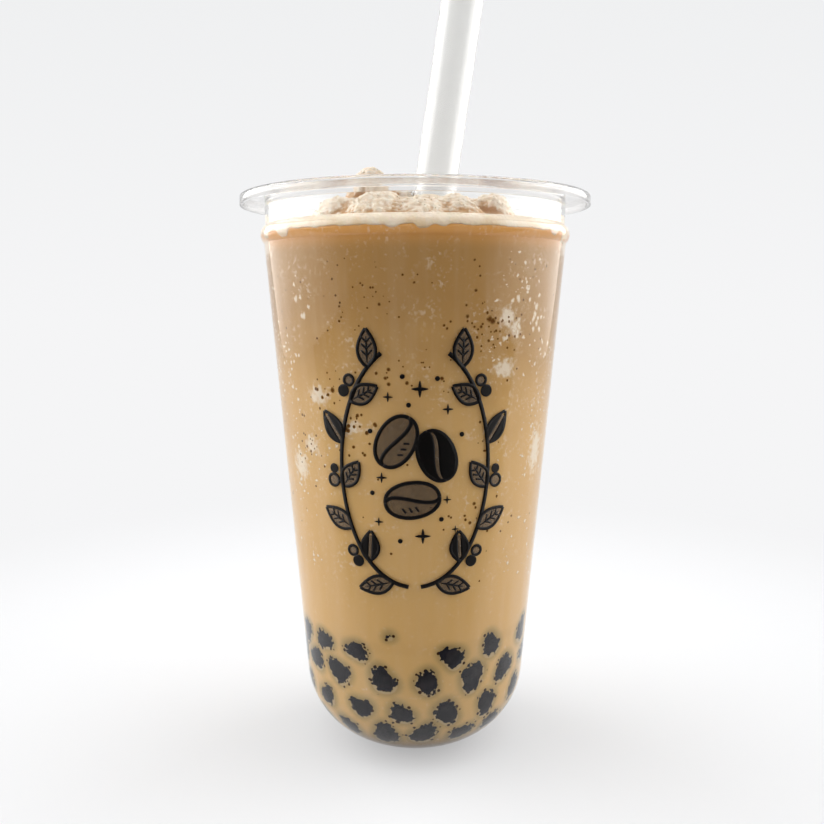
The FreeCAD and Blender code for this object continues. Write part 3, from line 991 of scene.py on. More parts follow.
@dataclass
class Pearls:
    """Tapioca pearls that have sunk to the round bottom and press against the wall."""

    radius: float = 4.3
    contact: Flat = (3.0, 3.7)
    contact_tall: Flat = (0.82, 1.05)
    scatter: float = 0.8
    back_scatter: float = 4.0
    back_share: float = 0.7
    bare_share: float = 0.78
    lobes: Flat = (0.16, 0.1)
    lumps: float = 0.035
    least_height: float = 4.0
    widest_gap: float = 6.0
    poke: float = 0.08
    patch_rows: int = 12
    ball_rows: int = 9
    columns: int = 44
    seed: int = 7
    front_rows: tuple[tuple[float, tuple[float, ...]], ...] = (
        (33.6, (-68.0, -49.5, -28.6, 18.0, 39.0, 66.0)),
        (26.0, (-59.0, -40.0, -15.4, 5.7, 29.0, 50.5)),
        (17.8, (-72.0, -51.0, -27.6, -6.6, 16.0, 39.0, 63.0)),
        (10.0, (-61.0, -39.0, -16.0, 4.8, 26.5, 47.7, 70.0)),
    )
    back_step: float = 21.0
    crumb: Spot = Spot(-11.5, 39.1, 0.75, 0.75)
    spots: list[Spot] = field(default_factory=list)

    def settle_down(self) -> None:
        """Choose where each pearl touches the wall: the rows in front, and like rows on round the back."""
        draw = random.Random(self.seed)
        for number, (height, turns) in enumerate(self.front_rows):
            for turn in turns:
                self.spots.append(self.touch(draw, turn, height))
            turn = turns[-1] + self.back_step
            while turn < turns[0] + 360 - 0.8 * self.back_step:
                if number or draw.random() < self.back_share:
                    off = draw.uniform(-self.back_scatter, self.back_scatter)
                    self.spots.append(self.touch(draw, turn + off, height))
                turn += self.back_step

    def touch(self, draw: random.Random, turn: float, height: float) -> Spot:
        """One place of contact, a little off its row and of its own size.

        Args:
            draw: The pearls' own run of random numbers.
            turn: Degrees round the cup from the drinker.
            height: The row's height.

        Returns:
            The place, with half the contact's width and height.
        """
        wide = draw.uniform(*self.contact)
        off = draw.uniform(-self.scatter, self.scatter)
        return Spot(turn, height + off, wide, wide * draw.uniform(*self.contact_tall))

    def gaps(self, points: np.ndarray, bore: Bore, drop: float = 0.0) -> np.ndarray:
        """How far each point of the drink's side is from the nearest contact, in millimetres.

        Args:
            points: The points in metres, one row each.
            bore: The inside of the cup.
            drop: Millimetres that the contacts are lowered first.

        Returns:
            The distances, negative inside a contact.
        """
        nearest = np.full(len(points), self.widest_gap)
        for number, spot in enumerate([*self.spots, self.crumb]):
            height = spot.height - drop
            centre = on_turn(spot.turn, bore.inside(max(height, self.least_height)), height)
            away = (points - np.array(centre)) / MM
            distance = np.linalg.norm(away, axis=1)
            close = distance < 1.5 * self.widest_gap
            around = np.arctan2(away[close, 2], self.sideways(away[close], spot.turn))
            lobes = self.lobes[0] * np.sin(2 * around + number)
            lobes += self.lobes[1] * np.sin(3 * around + 2.1 * number)
            reach = (spot.wide + spot.tall) / 2 * (1 + lobes)
            nearest[close] = np.minimum(nearest[close], distance[close] - reach)
        return nearest

    @staticmethod
    def sideways(away: np.ndarray, turn: float) -> np.ndarray:
        """Part of some offsets that runs along the wall, level."""
        angle = math.radians(turn)
        return away[:, 0] * math.cos(angle) + away[:, 1] * math.sin(angle)

    def ball(self, spot: Spot, surface: BVHTree, bore: Bore) -> Skin:
        """One pearl, flattened where it presses on the wall.

        Args:
            spot: Where it touches.
            surface: The drink's outer surface.
            bore: The inside of the cup.

        Returns:
            Its vertices and faces.
        """
        touch = on_turn(spot.turn, bore.inside(max(spot.height, self.least_height)), spot.height)
        place, normal = surface.find_nearest(touch)[:2]
        reach = self.bare_share * min(spot.wide, spot.tall)
        sunk = math.sqrt(self.radius ** 2 - reach ** 2)
        centre = place - normal * sunk * MM
        frame_turn = normal.to_track_quat("Z", "Y").to_matrix()
        rim = math.asin(reach / self.radius)
        steps = [rim * row / self.patch_rows for row in range(1, self.patch_rows + 1)]
        steps += [rim + (math.pi - rim) * row / self.ball_rows for row in range(1, self.ball_rows)]
        points = [self.pressed(centre + normal * self.radius * MM, surface)]
        for step in steps:
            for column in range(self.columns):
                angle = 2 * math.pi * column / self.columns
                way = on_ball(step, angle)
                lump = 1 + self.lumps * rough_noise(way * 2 * MM, 1.0, spot.turn)
                point = centre + frame_turn @ way * lump * self.radius * MM
                points.append(self.pressed(point, surface))
        points.append(centre - normal * self.radius * MM)
        faces = ball_faces(len(steps), self.columns)
        return np.array(points), [tuple(reversed(face)) for face in faces]

    def pressed(self, point: Vector, surface: BVHTree) -> Vector:
        """Hold a point of a pearl back at the wall.

        Args:
            point: The point in metres.
            surface: The drink's outer surface.

        Returns:
            The point, moved back where it lay too far out.
        """
        place, normal = surface.find_nearest(point)[:2]
        lies_out = (point - place).dot(normal)
        return place + normal * self.poke * MM if lies_out > self.poke * MM else point

    def build(self, surface: BVHTree, bore: Bore) -> bpy.types.Object:
        """Make all the pearls as one piece.

        Args:
            surface: The drink's outer surface.
            bore: The inside of the cup.

        Returns:
            The piece.
        """
        parts = [self.ball(spot, surface, bore) for spot in self.spots]
        points, faces = joined(parts)
        return make_piece("tapioca_pearls", points, faces, CookedTapioca())


@dataclass
class Drink:
    """The liquid, up to its level and just into the cup's wall, with what shows at its side."""

    bore: Bore
    pearls: Pearls
    fine_step: float = 0.55
    coarse_step: float = 0.9
    fine_top: float = 44.0
    columns: int = 400
    pearl_thick: float = 0.55
    froth_spots: tuple[Spot, ...] = (
        Spot(-39.0, 101.0, 3.6, 2.4),
        Spot(-27.0, 93.5, 5.6, 1.6),
        Spot(-46.0, 88.0, 2.2, 2.6),
        Spot(-55.0, 82.0, 3.6, 3.8),
        Spot(-72.0, 138.0, 6.0, 2.6),
        Spot(74.0, 138.0, 6.0, 2.0),
        Spot(35.0, 108.0, 3.0, 2.6),
        Spot(34.5, 120.5, 2.6, 2.6),
        Spot(39.0, 118.0, 1.8, 2.4),
        Spot(60.0, 85.0, 3.2, 6.0),
        Spot(-100.0, 104.0, 5.0, 3.0),
        Spot(120.0, 92.0, 4.5, 3.0),
        Spot(165.0, 110.0, 5.0, 2.5),
        Spot(-150.0, 84.0, 4.0, 3.5),
        Spot(95.0, 118.0, 3.5, 4.0),
    )

    def build(self) -> BVHTree:
        """Make the drink.

        Returns:
            Its surface, for others to be set against.
        """
        start = self.bore.turn_height
        fine = list(np.arange(start + self.fine_step, self.fine_top, self.fine_step))
        coarse = list(np.arange(self.fine_top, self.bore.level, self.coarse_step))
        line = self.bore.profile([*fine, *coarse, self.bore.level])
        points = [Vector((0, 0, line[0][1] * MM))]
        for radius, height in line[1:]:
            points += [on_turn(360 * column / self.columns, radius, height) for column in range(self.columns)]
        points.append(Vector((0, 0, self.bore.level * MM)))
        faces = ball_faces(len(line) - 1, self.columns)
        finish = MilkCoffee(level_mm=self.bore.level)
        piece = make_piece("drink_body", np.array(points), faces, finish)
        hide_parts("drink")
        cut_with(piece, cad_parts["straw"])
        self.dress(piece)
        return BVHTree.FromPolygons(points, faces)

    def dress(self, piece: bpy.types.Object) -> None:
        """Mark where pearls and froth show at the drink's side.

        Args:
            piece: The drink.
        """
        corners = np.array([vertex.co for vertex in piece.data.vertices])
        set_mark(piece, Mark.PEARL_GAP, self.pearls.gaps(corners, self.bore))
        set_mark(piece, Mark.UNDER_PEARL, self.pearls.gaps(corners, self.bore, self.pearl_thick))
        froth = np.zeros(len(corners))
        for spot in self.froth_spots:
            centre = np.array(on_turn(spot.turn, self.bore.inside(spot.height), spot.height))
            away = (corners - centre) / MM
            level = np.hypot(away[:, 0], away[:, 1]) / spot.wide
            share = np.exp(-(level ** 2 + (away[:, 2] / spot.tall) ** 2))
            froth = np.maximum(froth, share)
        set_mark(piece, Mark.FROTH, froth)


@dataclass
class WallThings:
    """Bubbles and flecks of ice that lie against the wall, as flat caps on the drink's surface."""

    bore: Bore
    surface: BVHTree
    columns: int = 14
    seed: int = 31
    bubble_groups: tuple[tuple[Spot, int, float], ...] = (
        (Spot(26.0, 118.5, 8.0, 5.0), 46, 0.42),
        (Spot(-20.0, 127.0, 7.0, 6.0), 16, 0.3),
        (Spot(-8.0, 108.0, 4.0, 3.0), 8, 0.5),
        (Spot(-36.0, 101.0, 4.0, 2.5), 9, 0.45),
        (Spot(-24.0, 94.5, 6.0, 2.8), 18, 0.5),
        (Spot(-30.0, 104.0, 7.0, 4.0), 12, 0.32),
        (Spot(-46.0, 87.0, 4.0, 4.0), 9, 0.35),
        (Spot(-22.0, 87.0, 4.0, 3.0), 5, 0.42),
        (Spot(20.0, 70.0, 6.0, 3.0), 9, 0.4),
        (Spot(33.0, 70.0, 5.0, 5.0), 8, 0.35),
        (Spot(12.0, 104.0, 5.0, 4.0), 7, 0.35),
        (Spot(120.0, 100.0, 9.0, 7.0), 30, 0.42),
        (Spot(-125.0, 90.0, 9.0, 7.0), 30, 0.42),
        (Spot(175.0, 118.0, 9.0, 6.0), 26, 0.42),
    )
    bubble_sizes: Flat = (0.4375, 1.25)
    bubble_tall: Flat = (0.9, 1.2)
    bubble_relief: Flat = (0.05, 0.1)
    large_share: float = 0.12
    large_by: float = 1.9
    loose_bubbles: int = 300
    loose_sizes: Flat = (0.17, 0.42)
    bubble_low: float = 52.0
    flake_groups: tuple[tuple[Spot, int], ...] = (
        (Spot(43.0, 128.0, 2.6, 3.0), 9),
        (Spot(49.0, 121.0, 2.6, 4.0), 12),
        (Spot(38.0, 117.0, 2.4, 2.2), 7),
        (Spot(56.0, 112.0, 3.0, 4.0), 9),
        (Spot(-44.0, 119.0, 5.0, 6.0), 5),
        (Spot(-57.0, 104.0, 4.0, 6.0), 6),
        (Spot(150.0, 120.0, 4.0, 5.0), 12),
        (Spot(-110.0, 112.0, 4.0, 5.0), 12),
    )
    fleck_groups: int = 190
    fleck_counts: tuple[int, int] = (3, 16)
    fleck_heights: Flat = (50.0, 84.0)
    fleck_reach: float = 2.4
    fleck_clear: Flat = (30.0, 26.0)
    fleck_wide: Flat = (0.16, 0.6)
    fleck_tall: Flat = (0.6, 1.1)
    fleck_relief: Flat = (0.04, 0.9)
    flake_wide: Flat = (0.35, 0.95)
    flake_tall: Flat = (0.8, 1.5)
    flake_relief: Flat = (0.04, 0.8)
    top: float = 136.0

    def cap(self, turn: float, height: float, wide: float, tall: float, relief: Flat) -> Cap:
        """A flat lens on the drink's surface.

        Args:
            turn: Degrees round the cup from the drinker.
            height: Millimetres above the surface that the cup stands on.
            wide: Half its width in millimetres.
            tall: Half its height in millimetres.
            relief: Millimetres that its middle stands out, and how uneven its outline is.

        Returns:
            Its vertices, its faces, and how near the edge each vertex is.
        """
        place, normal = self.surface.find_nearest(on_turn(turn, self.bore.inside(height), height))[:2]
        level = Vector((0, 0, 1)).cross(normal).normalized()
        up = normal.cross(level)
        rings = ((0.45, 1.0), (0.8, 0.8), (1.0, -0.6))
        rise, ragged = relief
        points, edge = [place + normal * rise * MM], [0.0]
        for share, out in rings:
            for column in range(self.columns):
                angle = 2 * math.pi * column / self.columns
                way = Vector((math.cos(angle), math.sin(angle), turn + height))
                wave = 1 + ragged * rough_noise(way * MM, 1.0)
                offset = level * way.x * wide + up * way.y * tall
                spot = self.surface.find_nearest(place + offset * share * wave * MM)
                points.append(spot[0] + spot[1] * rise * out * MM)
                edge.append(share)
        faces = [tuple(reversed(face)) for face in grid_faces(len(rings), self.columns, first=1)]
        return np.array(points), faces + fan_faces(0, 1, self.columns), edge

    def build_bubbles(self) -> bpy.types.Object:
        """Make the air bubbles, in groups and singly: brown holes with a paler edge.

        Returns:
            The piece.
        """
        draw = random.Random(self.seed)
        caps = []
        for spot, count, size in self.bubble_groups:
            for _ in range(count):
                height = spot.height + draw.gauss(0, spot.tall / 1.6)
                across = math.degrees(draw.gauss(0, spot.wide / 1.6) / self.bore.inside(spot.height))
                reach = size * draw.uniform(*self.bubble_sizes)
                reach *= self.large_by if draw.random() < self.large_share else 1.0
                tall = reach * draw.uniform(*self.bubble_tall)
                caps.append(self.cap(spot.turn + across, height, reach, tall, self.bubble_relief))
        for _ in range(self.loose_bubbles):
            reach = draw.uniform(*self.loose_sizes)
            height = self.bubble_low + (self.top - self.bubble_low) * draw.random() ** 0.7
            turn = draw.uniform(-180, 180)
            caps.append(self.cap(turn, height, reach, reach, self.bubble_relief))
        finish = WallSpot("air_bubble_in_milk", "#664018", "#A98550", 0.3)
        return self.gather("air_bubbles", caps, finish)

    def build_flecks(self) -> bpy.types.Object:
        """Make the flecks of ice, which show most towards the sides, and the groups of larger flakes.

        Returns:
            The piece.
        """
        draw = random.Random(self.seed + 1)
        caps = []
        for _ in range(self.fleck_groups):
            turn = draw.uniform(-180, 180)
            height = self.fleck_heights[0] + self.fleck_heights[1] * draw.random() ** 0.85
            if abs(turn) < self.fleck_clear[0] + draw.uniform(0, self.fleck_clear[1]):
                continue
            for _ in range(draw.randint(*self.fleck_counts)):
                across = math.degrees(draw.gauss(0, self.fleck_reach) / self.bore.inside(height))
                wide = self.fleck_wide[0] + self.fleck_wide[1] * draw.random() ** 2.5
                place = min(height + draw.gauss(0, 1.6 * self.fleck_reach), self.top)
                tall = wide * draw.uniform(*self.fleck_tall)
                caps.append(self.cap(turn + across, place, wide, tall, self.fleck_relief))
        for spot, count in self.flake_groups:
            for _ in range(count):
                across = math.degrees(draw.gauss(0, spot.wide / 1.5) / self.bore.inside(spot.height))
                wide = draw.uniform(*self.flake_wide)
                place = spot.height + draw.gauss(0, spot.tall / 1.5)
                tall = wide * draw.uniform(*self.flake_tall)
                caps.append(self.cap(spot.turn + across, place, wide, tall, self.flake_relief))
        finish = WallSpot("ice_fleck_blended", "#EFE3D0", "#D2B48A", 0.35)
        return self.gather("ice_flecks", caps, finish)

    def gather(self, name: str, caps: Sequence[Cap], finish: Finish) -> bpy.types.Object:
        """Join caps into one piece and mark their edges.

        Args:
            name: The piece's name.
            caps: What the method cap gave for each.
            finish: What they are made of.

        Returns:
            The piece.
        """
        points, faces = joined([(cap[0], cap[1]) for cap in caps])
        piece = make_piece(name, points, faces, finish)
        set_mark(piece, Mark.EDGE, [value for cap in caps for value in cap[2]])
        return piece


@dataclass(frozen=True)
class Tongue:
    """A drip or a climb of the foam: degrees round from the drinker, reach and half width in millimetres."""

    turn: float
    reach: float
    wide: float


@dataclass
class FoamHead:
    """Foam that floats on the drink, with drips down the wall and a wet edge that climbs it."""

    bore: Bore
    straw: StrawLine
    reach_in: float = 0.3
    columns: int = 480
    side_rows: int = 9
    top_rows: int = 44
    edge_round: float = 0.9
    edge_rise: float = 0.3
    side_waves: tuple[Point, ...] = ((4.0, 0.35, 3.0), (1.5, 0.2, 5.0))
    top_waves: tuple[Point, ...] = ((5.0, 0.35, 8.0), (1.6, 0.2, 9.0))
    straw_gap: float = 0.02
    drips: tuple[Tongue, ...] = (
        Tongue(-152.0, 1.2, 2.2),
        Tongue(-118.0, 2.6, 2.6),
        Tongue(-80.0, 3.0, 3.4),
        Tongue(-66.0, 1.4, 2.2),
        Tongue(-51.0, 1.6, 2.4),
        Tongue(-7.5, 0.7, 1.5),
        Tongue(2.5, 0.9, 1.6),
        Tongue(9.0, 0.4, 1.2),
        Tongue(56.0, 1.0, 1.8),
        Tongue(68.0, 2.6, 3.2),
        Tongue(84.0, 2.2, 2.0),
        Tongue(118.0, 1.8, 2.4),
        Tongue(160.0, 2.2, 2.0),
    )
    climbs: tuple[Tongue, ...] = (
        Tongue(-140.0, 1.8, 4.0),
        Tongue(-76.0, 2.6, 5.5),
        Tongue(70.0, 2.2, 6.0),
        Tongue(150.0, 1.4, 5.0),
    )

    def bulge(self, tongues: Sequence[Tongue], turn: float) -> float:
        """How far an edge is pushed by drips or climbs at a place round the cup.

        Args:
            tongues: The drips or the climbs.
            turn: Degrees round the cup from the drinker.

        Returns:
            The push in millimetres.
        """
        total = 0.0
        for tongue in tongues:
            away = (turn - tongue.turn + 180) % 360 - 180
            distance = math.radians(away) * self.bore.inside(self.bore.level) / tongue.wide
            total += tongue.reach * math.exp(-distance ** 4)
        return total

    def build(self) -> bpy.types.Object:
        """Make the foam, with a hole for the straw.

        Returns:
            The piece.
        """
        low, high = self.bore.level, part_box("foam_head")[1].z / MM
        points, shade = [], []
        rows = self.side_rows + self.top_rows
        for row in range(rows):
            for column in range(self.columns):
                turn = 360 * column / self.columns
                if row < self.side_rows:
                    point, soaked = self.side(row, turn, low, high)
                else:
                    point, soaked = self.top(row, turn, high)
                points.append(point)
                shade.append(soaked)
        points.append(Vector((0, 0, high * MM)))
        shade.append(0.2)
        last = len(points) - 1
        faces = grid_faces(rows, self.columns) + fan_faces(last, last - self.columns, self.columns)
        piece = make_piece("foam_layer", np.array(points), faces, MilkFoam())
        set_mark(piece, Mark.SHADE, shade)
        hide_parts("foam_head")
        rod = self.straw.rod(self.straw_gap)
        cut_with(piece, rod)
        bpy.data.objects.remove(rod)
        return piece

    def side(self, row: int, turn: float, low: float, high: float) -> tuple[Vector, float]:
        """Point of the foam's side, which hugs the wall.

        Args:
            row: The point's row, counted from the foot.
            turn: Degrees round the cup from the drinker.
            low: The drink's level.
            high: The foam's own level.

        Returns:
            The point, and how far drink has soaked up to it.
        """
        around = on_turn(turn, self.bore.inside(low), 0)
        wander = waves(around, self.side_waves)
        foot = low - 0.1 - self.bulge(self.drips, turn) + wander
        top = high + self.edge_rise + self.bulge(self.climbs, turn) + 1.5 * wander
        share = max(row - 1, 0) / (self.side_rows - 2)
        height = foot + (top - foot) * share
        out = self.reach_in if row else -0.3
        return on_turn(turn, self.bore.inside(height) + out, height), 0.55 - 0.6 * share

    def top(self, row: int, turn: float, high: float) -> tuple[Vector, float]:
        """Point of the foam's top, level but for small swellings and pits.

        Args:
            row: The point's row, counted from the foot.
            turn: Degrees round the cup from the drinker.
            high: The foam's own level.

        Returns:
            The point, and how far drink has soaked up to it.
        """
        share = (row - self.side_rows + 1) / (self.top_rows + 0.5)
        climbed = high + self.edge_rise + self.bulge(self.climbs, turn)
        wall = self.bore.inside(climbed)
        radius = wall * (1 - share) ** 0.9
        inward = wall - radius
        level = on_turn(turn, radius, high)
        relief = waves(level, self.top_waves)
        slope = (climbed - high) * math.exp(-(inward / (2.2 * self.edge_round)) ** 2)
        return on_turn(turn, radius, high + relief + slope), 0.15 + 0.3 * rough_noise(level, 7.0, 2.0)


@dataclass
class SlushHeap:
    """The heap of blended ice that stands out of the foam, with loose grains on it."""

    straw: StrawLine
    bore: Bore
    voxel: float = 0.42
    lump: Flat = (3.6, 0.55)
    clod: Flat = (1.7, 0.34)
    grit: Flat = (0.8, 0.28)
    straw_gap: float = 0.06
    fill_reach: float = 2.3
    fill_cell: float = 0.4
    hollow_cell: float = 1.0
    hollow_reach: int = 4
    foot: float = 0.8
    foot_fade: float = 1.2
    # base of the mark for liquid and painted shade, and the weight of painted shade from the hollows
    wet_and_shade_base: float = 0.42
    hollow_shade: float = 0.5
    grain_count: int = 900
    grain_size: Flat = (0.15, 0.38)
    grain_slope: float = 0.25
    grain_rows: int = 3
    grain_columns: int = 7
    # spots where liquid lies, browned also as painted shade
    wet_and_shade_spots: tuple[Point, ...] = (
        (19.5, -17.5, 6.0),
        (-15.5, -3.0, 3.8),
        (2.0, -19.0, 1.8),
        (-21.0, 9.0, 4.0),
        (9.0, 21.0, 4.5),
    )
    wet_depth: float = 1.1
    seed: int = 19

    def build(self) -> bpy.types.Object:
        """Make the heap from its solid: finer, and roughened at three scales.

        Returns:
            The piece.
        """
        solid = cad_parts["slush_mound"].data
        points = np.array([vertex.co for vertex in solid.vertices])
        faces = [tuple(face.vertices) for face in solid.polygons]
        piece = make_piece("slush_heap", points, faces, BlendedIce())
        self.remesh(piece)
        self.fill_gaps(piece)
        self.remesh(piece, soften=4)
        self.roughen(piece)
        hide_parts("slush_mound")
        log.info("slush_heap: %d faces when roughened", len(piece.data.polygons))
        return piece

    def remesh(self, piece: bpy.types.Object, soften: int = 0) -> None:
        """Give the heap an even, fine mesh.

        Args:
            piece: The heap.
            soften: How often the new mesh is smoothed.
        """
        even = piece.modifiers.new("even", "REMESH")
        even.mode = "VOXEL"
        even.voxel_size = self.voxel * MM
        even.use_smooth_shade = True
        if soften:
            smooth = piece.modifiers.new("soften", "SMOOTH")
            smooth.factor, smooth.iterations = 0.5, soften
        settle(piece)

    @staticmethod
    def heights(points: np.ndarray, cell: float, margin: int) -> tuple[np.ndarray, np.ndarray]:
        """Look down on some points through a level grid.

        Args:
            points: The points in metres, one row each.
            cell: The grid's spacing in metres.
            margin: How many empty cells surround the points.

        Returns:
            The cell of each point, and the height of the highest point in each cell.
        """
        place = ((points[:, :2] - points[:, :2].min(axis=0)) / cell).astype(int) + margin
        top = np.full(place.max(axis=0) + margin + 1, points[:, 2].min())
        np.maximum.at(top, (place[:, 0], place[:, 1]), points[:, 2])
        return place, top

    def fill_gaps(self, piece: bpy.types.Object) -> None:
        """Let slush fill the narrow gaps between lumps, and leave the wide hollows open.

        Args:
            piece: The heap.
        """
        points = np.array([vertex.co for vertex in piece.data.vertices])
        reach = round(self.fill_reach / self.fill_cell)
        place, top = self.heights(points, self.fill_cell * MM, reach)
        steps = [(right, back) for right in range(-reach, reach + 1) for back in range(-reach, reach + 1)
                 if right * right + back * back <= reach * reach]
        grown = np.maximum.reduce([np.roll(top, step, (0, 1)) for step in steps])
        filled = np.minimum.reduce([np.roll(grown, step, (0, 1)) for step in steps])
        target = filled[place[:, 0], place[:, 1]]
        loose = points[:, 2] > points[:, 2].min() + self.foot * MM
        points[loose, 2] = np.maximum(points[loose, 2], target[loose])
        piece.data.vertices.foreach_set("co", points.astype(np.float32).ravel())
        piece.data.update()

    def roughen(self, piece: bpy.types.Object) -> None:
        """Push the surface in and out, and mark the pockets that hold liquid, the hollows that take painted
        shade and the crests that take painted light.

        Args:
            piece: The heap.
        """
        floor, highest = (corner.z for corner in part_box("slush_mound"))
        starts = [(vertex.co.copy(), vertex.normal.copy()) for vertex in piece.data.vertices]
        moved, shade = [], []
        for here, normal in starts:
            lump = rough_noise(here, self.lump[0], 1.0)
            clod = rough_noise(here, self.clod[0], 2.0)
            grit = rough_noise(here, self.grit[0], 3.0)
            wet = max(math.exp(-((here.x / MM - across) ** 2 + (here.y / MM - away) ** 2) / reach ** 2)
                      for across, away, reach in self.wet_and_shade_spots)
            push = self.lump[1] * (abs(lump) - 0.3) + self.clod[1] * clod + self.grit[1] * grit
            push -= self.wet_depth * wet
            share = min(1.0, max(0.0, (here.z - floor) / (self.foot_fade * MM)))
            place = self.straw.clear(here + normal * push * share * MM, self.straw.radius + self.straw_gap)
            moved.append((place.x, place.y, min(max(place.z, floor), highest)))
            # browned where liquid lies in the spots, partly painted shade; crests of lumps paler, painted
            # light
            shade.append(self.wet_and_shade_base - 0.5 * abs(lump) - 0.3 * clod + 1.2 * wet)
        piece.data.vertices.foreach_set("co", np.array(moved, np.float32).ravel())
        piece.data.update()
        # painted shade in hollows below the mean height, painted light on crests above it
        set_mark(piece, Mark.SHADE, np.array(shade) + self.hollow_shade * self.hollows(np.array(moved)))

    def hollows(self, points: np.ndarray) -> np.ndarray:
        """How far each point lies below the heap's mean height round it.

        Args:
            points: The points in metres, one row each.

        Returns:
            The depths in millimetres.
        """
        place, top = self.heights(points, self.hollow_cell * MM, self.hollow_reach)
        steps = range(-self.hollow_reach, self.hollow_reach + 1)
        mean = sum(np.roll(top, (right, back), (0, 1)) for right in steps for back in steps) / len(steps) ** 2
        return (mean[place[:, 0], place[:, 1]] - points[:, 2]) / MM

    def build_grains(self, heap: bpy.types.Object) -> bpy.types.Object:
        """Scatter loose grains over the heap, each a small uneven crystal.

        Args:
            heap: The heap that they lie on.

        Returns:
            The piece.
        """
        draw = random.Random(self.seed)
        tops = [face for face in heap.data.polygons if face.normal.z > self.grain_slope]
        grains = []
        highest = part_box("slush_mound")[1].z
        while len(grains) < self.grain_count:
            face = draw.choice(tops)
            size = draw.uniform(*self.grain_size) * draw.uniform(0.6, 1.0)
            centre = face.center + face.normal * 0.2 * size * MM
            clear = self.straw.clear(centre, self.straw.radius + size + 0.1)
            if (clear - centre).length > 0 or centre.z + size * MM > highest:
                continue
            grains.append(self.grain(draw, centre, size))
        points, faces = joined(grains)
        piece = make_piece("slush_grains", points, faces, BlendedIce(name="ice_grain_crushed"))
        set_mark(piece, Mark.SHADE, np.full(len(points), 0.1))
        return piece

    def grain(self, draw: random.Random, centre: Vector, size: float) -> Skin:
        """One crystal: a ball of few faces, stretched, turned and knocked about.

        Args:
            draw: The grains' own run of random numbers.
            centre: Where it lies, in metres.
            size: About half its width in millimetres.

        Returns:
            Its vertices and faces.
        """
        turned = draw.uniform(0, 6.3)
        turn = Matrix.Rotation(turned, 3, Vector((draw.gauss(0, 1), draw.gauss(0, 1), draw.gauss(0, 1))))
        stretch = Vector((draw.uniform(0.7, 1.2), draw.uniform(0.6, 1.0), draw.uniform(0.5, 0.9)))
        points = [Vector((0, 0, 1))]
        for row in range(1, self.grain_rows + 1):
            up = math.pi * row / (self.grain_rows + 1)
            for column in range(self.grain_columns):
                around = 2 * math.pi * column / self.grain_columns
                points.append(on_ball(up, around))
        points.append(Vector((0, 0, -1)))
        placed = []
        for point in points:
            knocked = Vector([axis * length for axis, length in zip(point, stretch)]) * draw.uniform(0.8, 1.1)
            placed.append(centre + turn @ knocked * size * MM)
        faces = ball_faces(self.grain_rows, self.grain_columns)
        return np.array(placed), [tuple(reversed(face)) for face in faces]


@dataclass(frozen=True)
class Bean:
    """One coffee bean of the design: its place, its turn in degrees, its length and width in millimetres."""

    at: Flat
    turn: float
    length: float
    wide: float
    solid: bool = False


